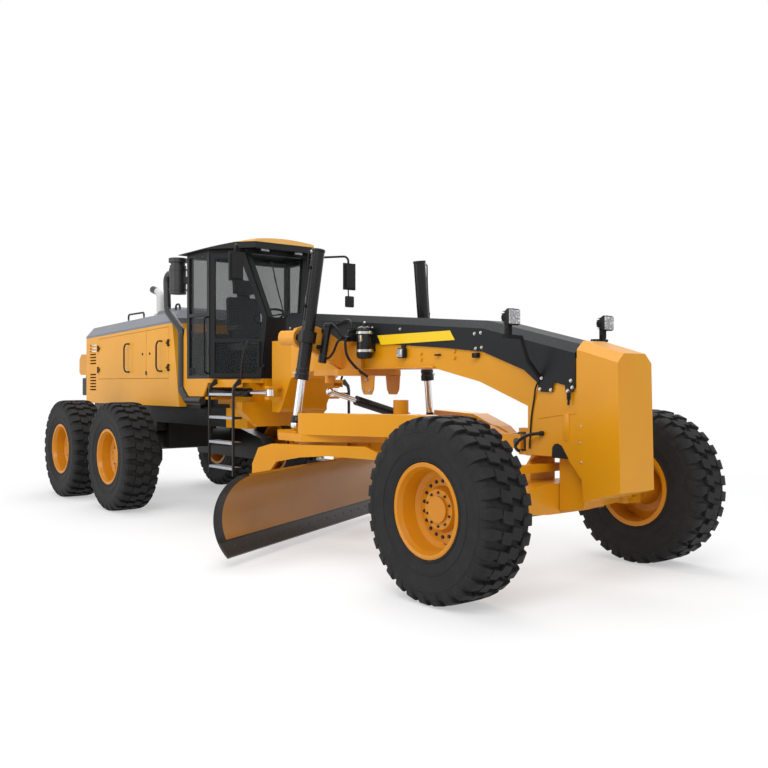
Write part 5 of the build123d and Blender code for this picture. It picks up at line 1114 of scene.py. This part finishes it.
def seen_directly(tree):
    """Socket that is 1 for camera, glossy and transmission rays."""
    rays = tree.nodes.new("ShaderNodeLightPath")
    total = rays.outputs["Is Camera Ray"]
    for kind in ("Is Glossy Ray", "Is Transmission Ray"):
        larger = tree.nodes.new("ShaderNodeMath")
        larger.operation = "MAXIMUM"
        tree.links.new(total, larger.inputs[0])
        tree.links.new(rays.outputs[kind], larger.inputs[1])
        total = larger.outputs[0]
    return total


def studio_floor():
    """White floor that keeps the machine's shadow and runs out into the white backdrop."""
    f = Finish("studio_white", (0.90, 0.90, 0.90), 0.95, Specular_IOR_Level=0.1)
    x, y = f.axes()[:2]
    away = (x * x + y * y).power(0.5)
    share = ((away - GLOW_START) / GLOW_RUN).clamped() * (1 - FLOOR_GLOW) + FLOOR_GLOW
    share = share * Signal(f, seen_directly(f.tree))
    glow = f.add("ShaderNodeEmission", {}, {"Color": (1, 1, 1, 1), "Strength": 1.0})
    mix = f.add("ShaderNodeMixShader", {}, {0: share, 1: Signal(f, f.shader.outputs[0]), 2: glow})
    output = next(n for n in f.tree.nodes if n.type == "OUTPUT_MATERIAL")
    f.tree.links.new(mix.socket, output.inputs["Surface"])
    bpy.ops.mesh.primitive_plane_add(size=160, location=(0, 0, 0))
    floor = bpy.context.object
    floor.name = "studio_floor"
    floor.data.materials.append(f.mat)


def studio():
    """Pale floor and backdrop, soft lamps, and the camera."""
    studio_floor()
    world = bpy.data.worlds.new("studio_world")
    bpy.context.scene.world = world
    world.use_nodes = True
    tree = world.node_tree
    tree.nodes.clear()
    out = tree.nodes.new("ShaderNodeOutputWorld")
    mix = tree.nodes.new("ShaderNodeMixShader")
    tree.links.new(seen_directly(tree), mix.inputs[0])
    for index, (color, strength) in enumerate((((0.95, 0.97, 1.0, 1), WORLD_LIGHT), ((1, 1, 1, 1), 1.0))):
        light = tree.nodes.new("ShaderNodeBackground")
        light.inputs[0].default_value = color
        light.inputs[1].default_value = strength
        tree.links.new(light.outputs[0], mix.inputs[index + 1])
    tree.links.new(mix.outputs[0], out.inputs[0])
    for name, spot, size, power in STUDIO_LAMPS:
        light = bpy.data.lights.new(name, "AREA")
        light.energy = power
        light.size = size
        lamp = bpy.data.objects.new(name, light)
        bpy.context.collection.objects.link(lamp)
        lamp.location = spot
        lamp.rotation_euler = (Vector((0, 0, 1)) - Vector(spot)).to_track_quat("-Z", "Y").to_euler()
    data = bpy.data.cameras.new("camera")
    data.lens = CAMERA_LENS
    data.sensor_width = 36
    data.clip_end = 200
    camera = bpy.data.objects.new("camera", data)
    bpy.context.collection.objects.link(camera)
    camera.location = CAMERA_SPOT
    camera.rotation_euler = (math.radians(90), 0, -CAMERA_TURN)
    bpy.context.scene.camera = camera
    bpy.context.scene.view_settings.view_transform = "Standard"


studio()
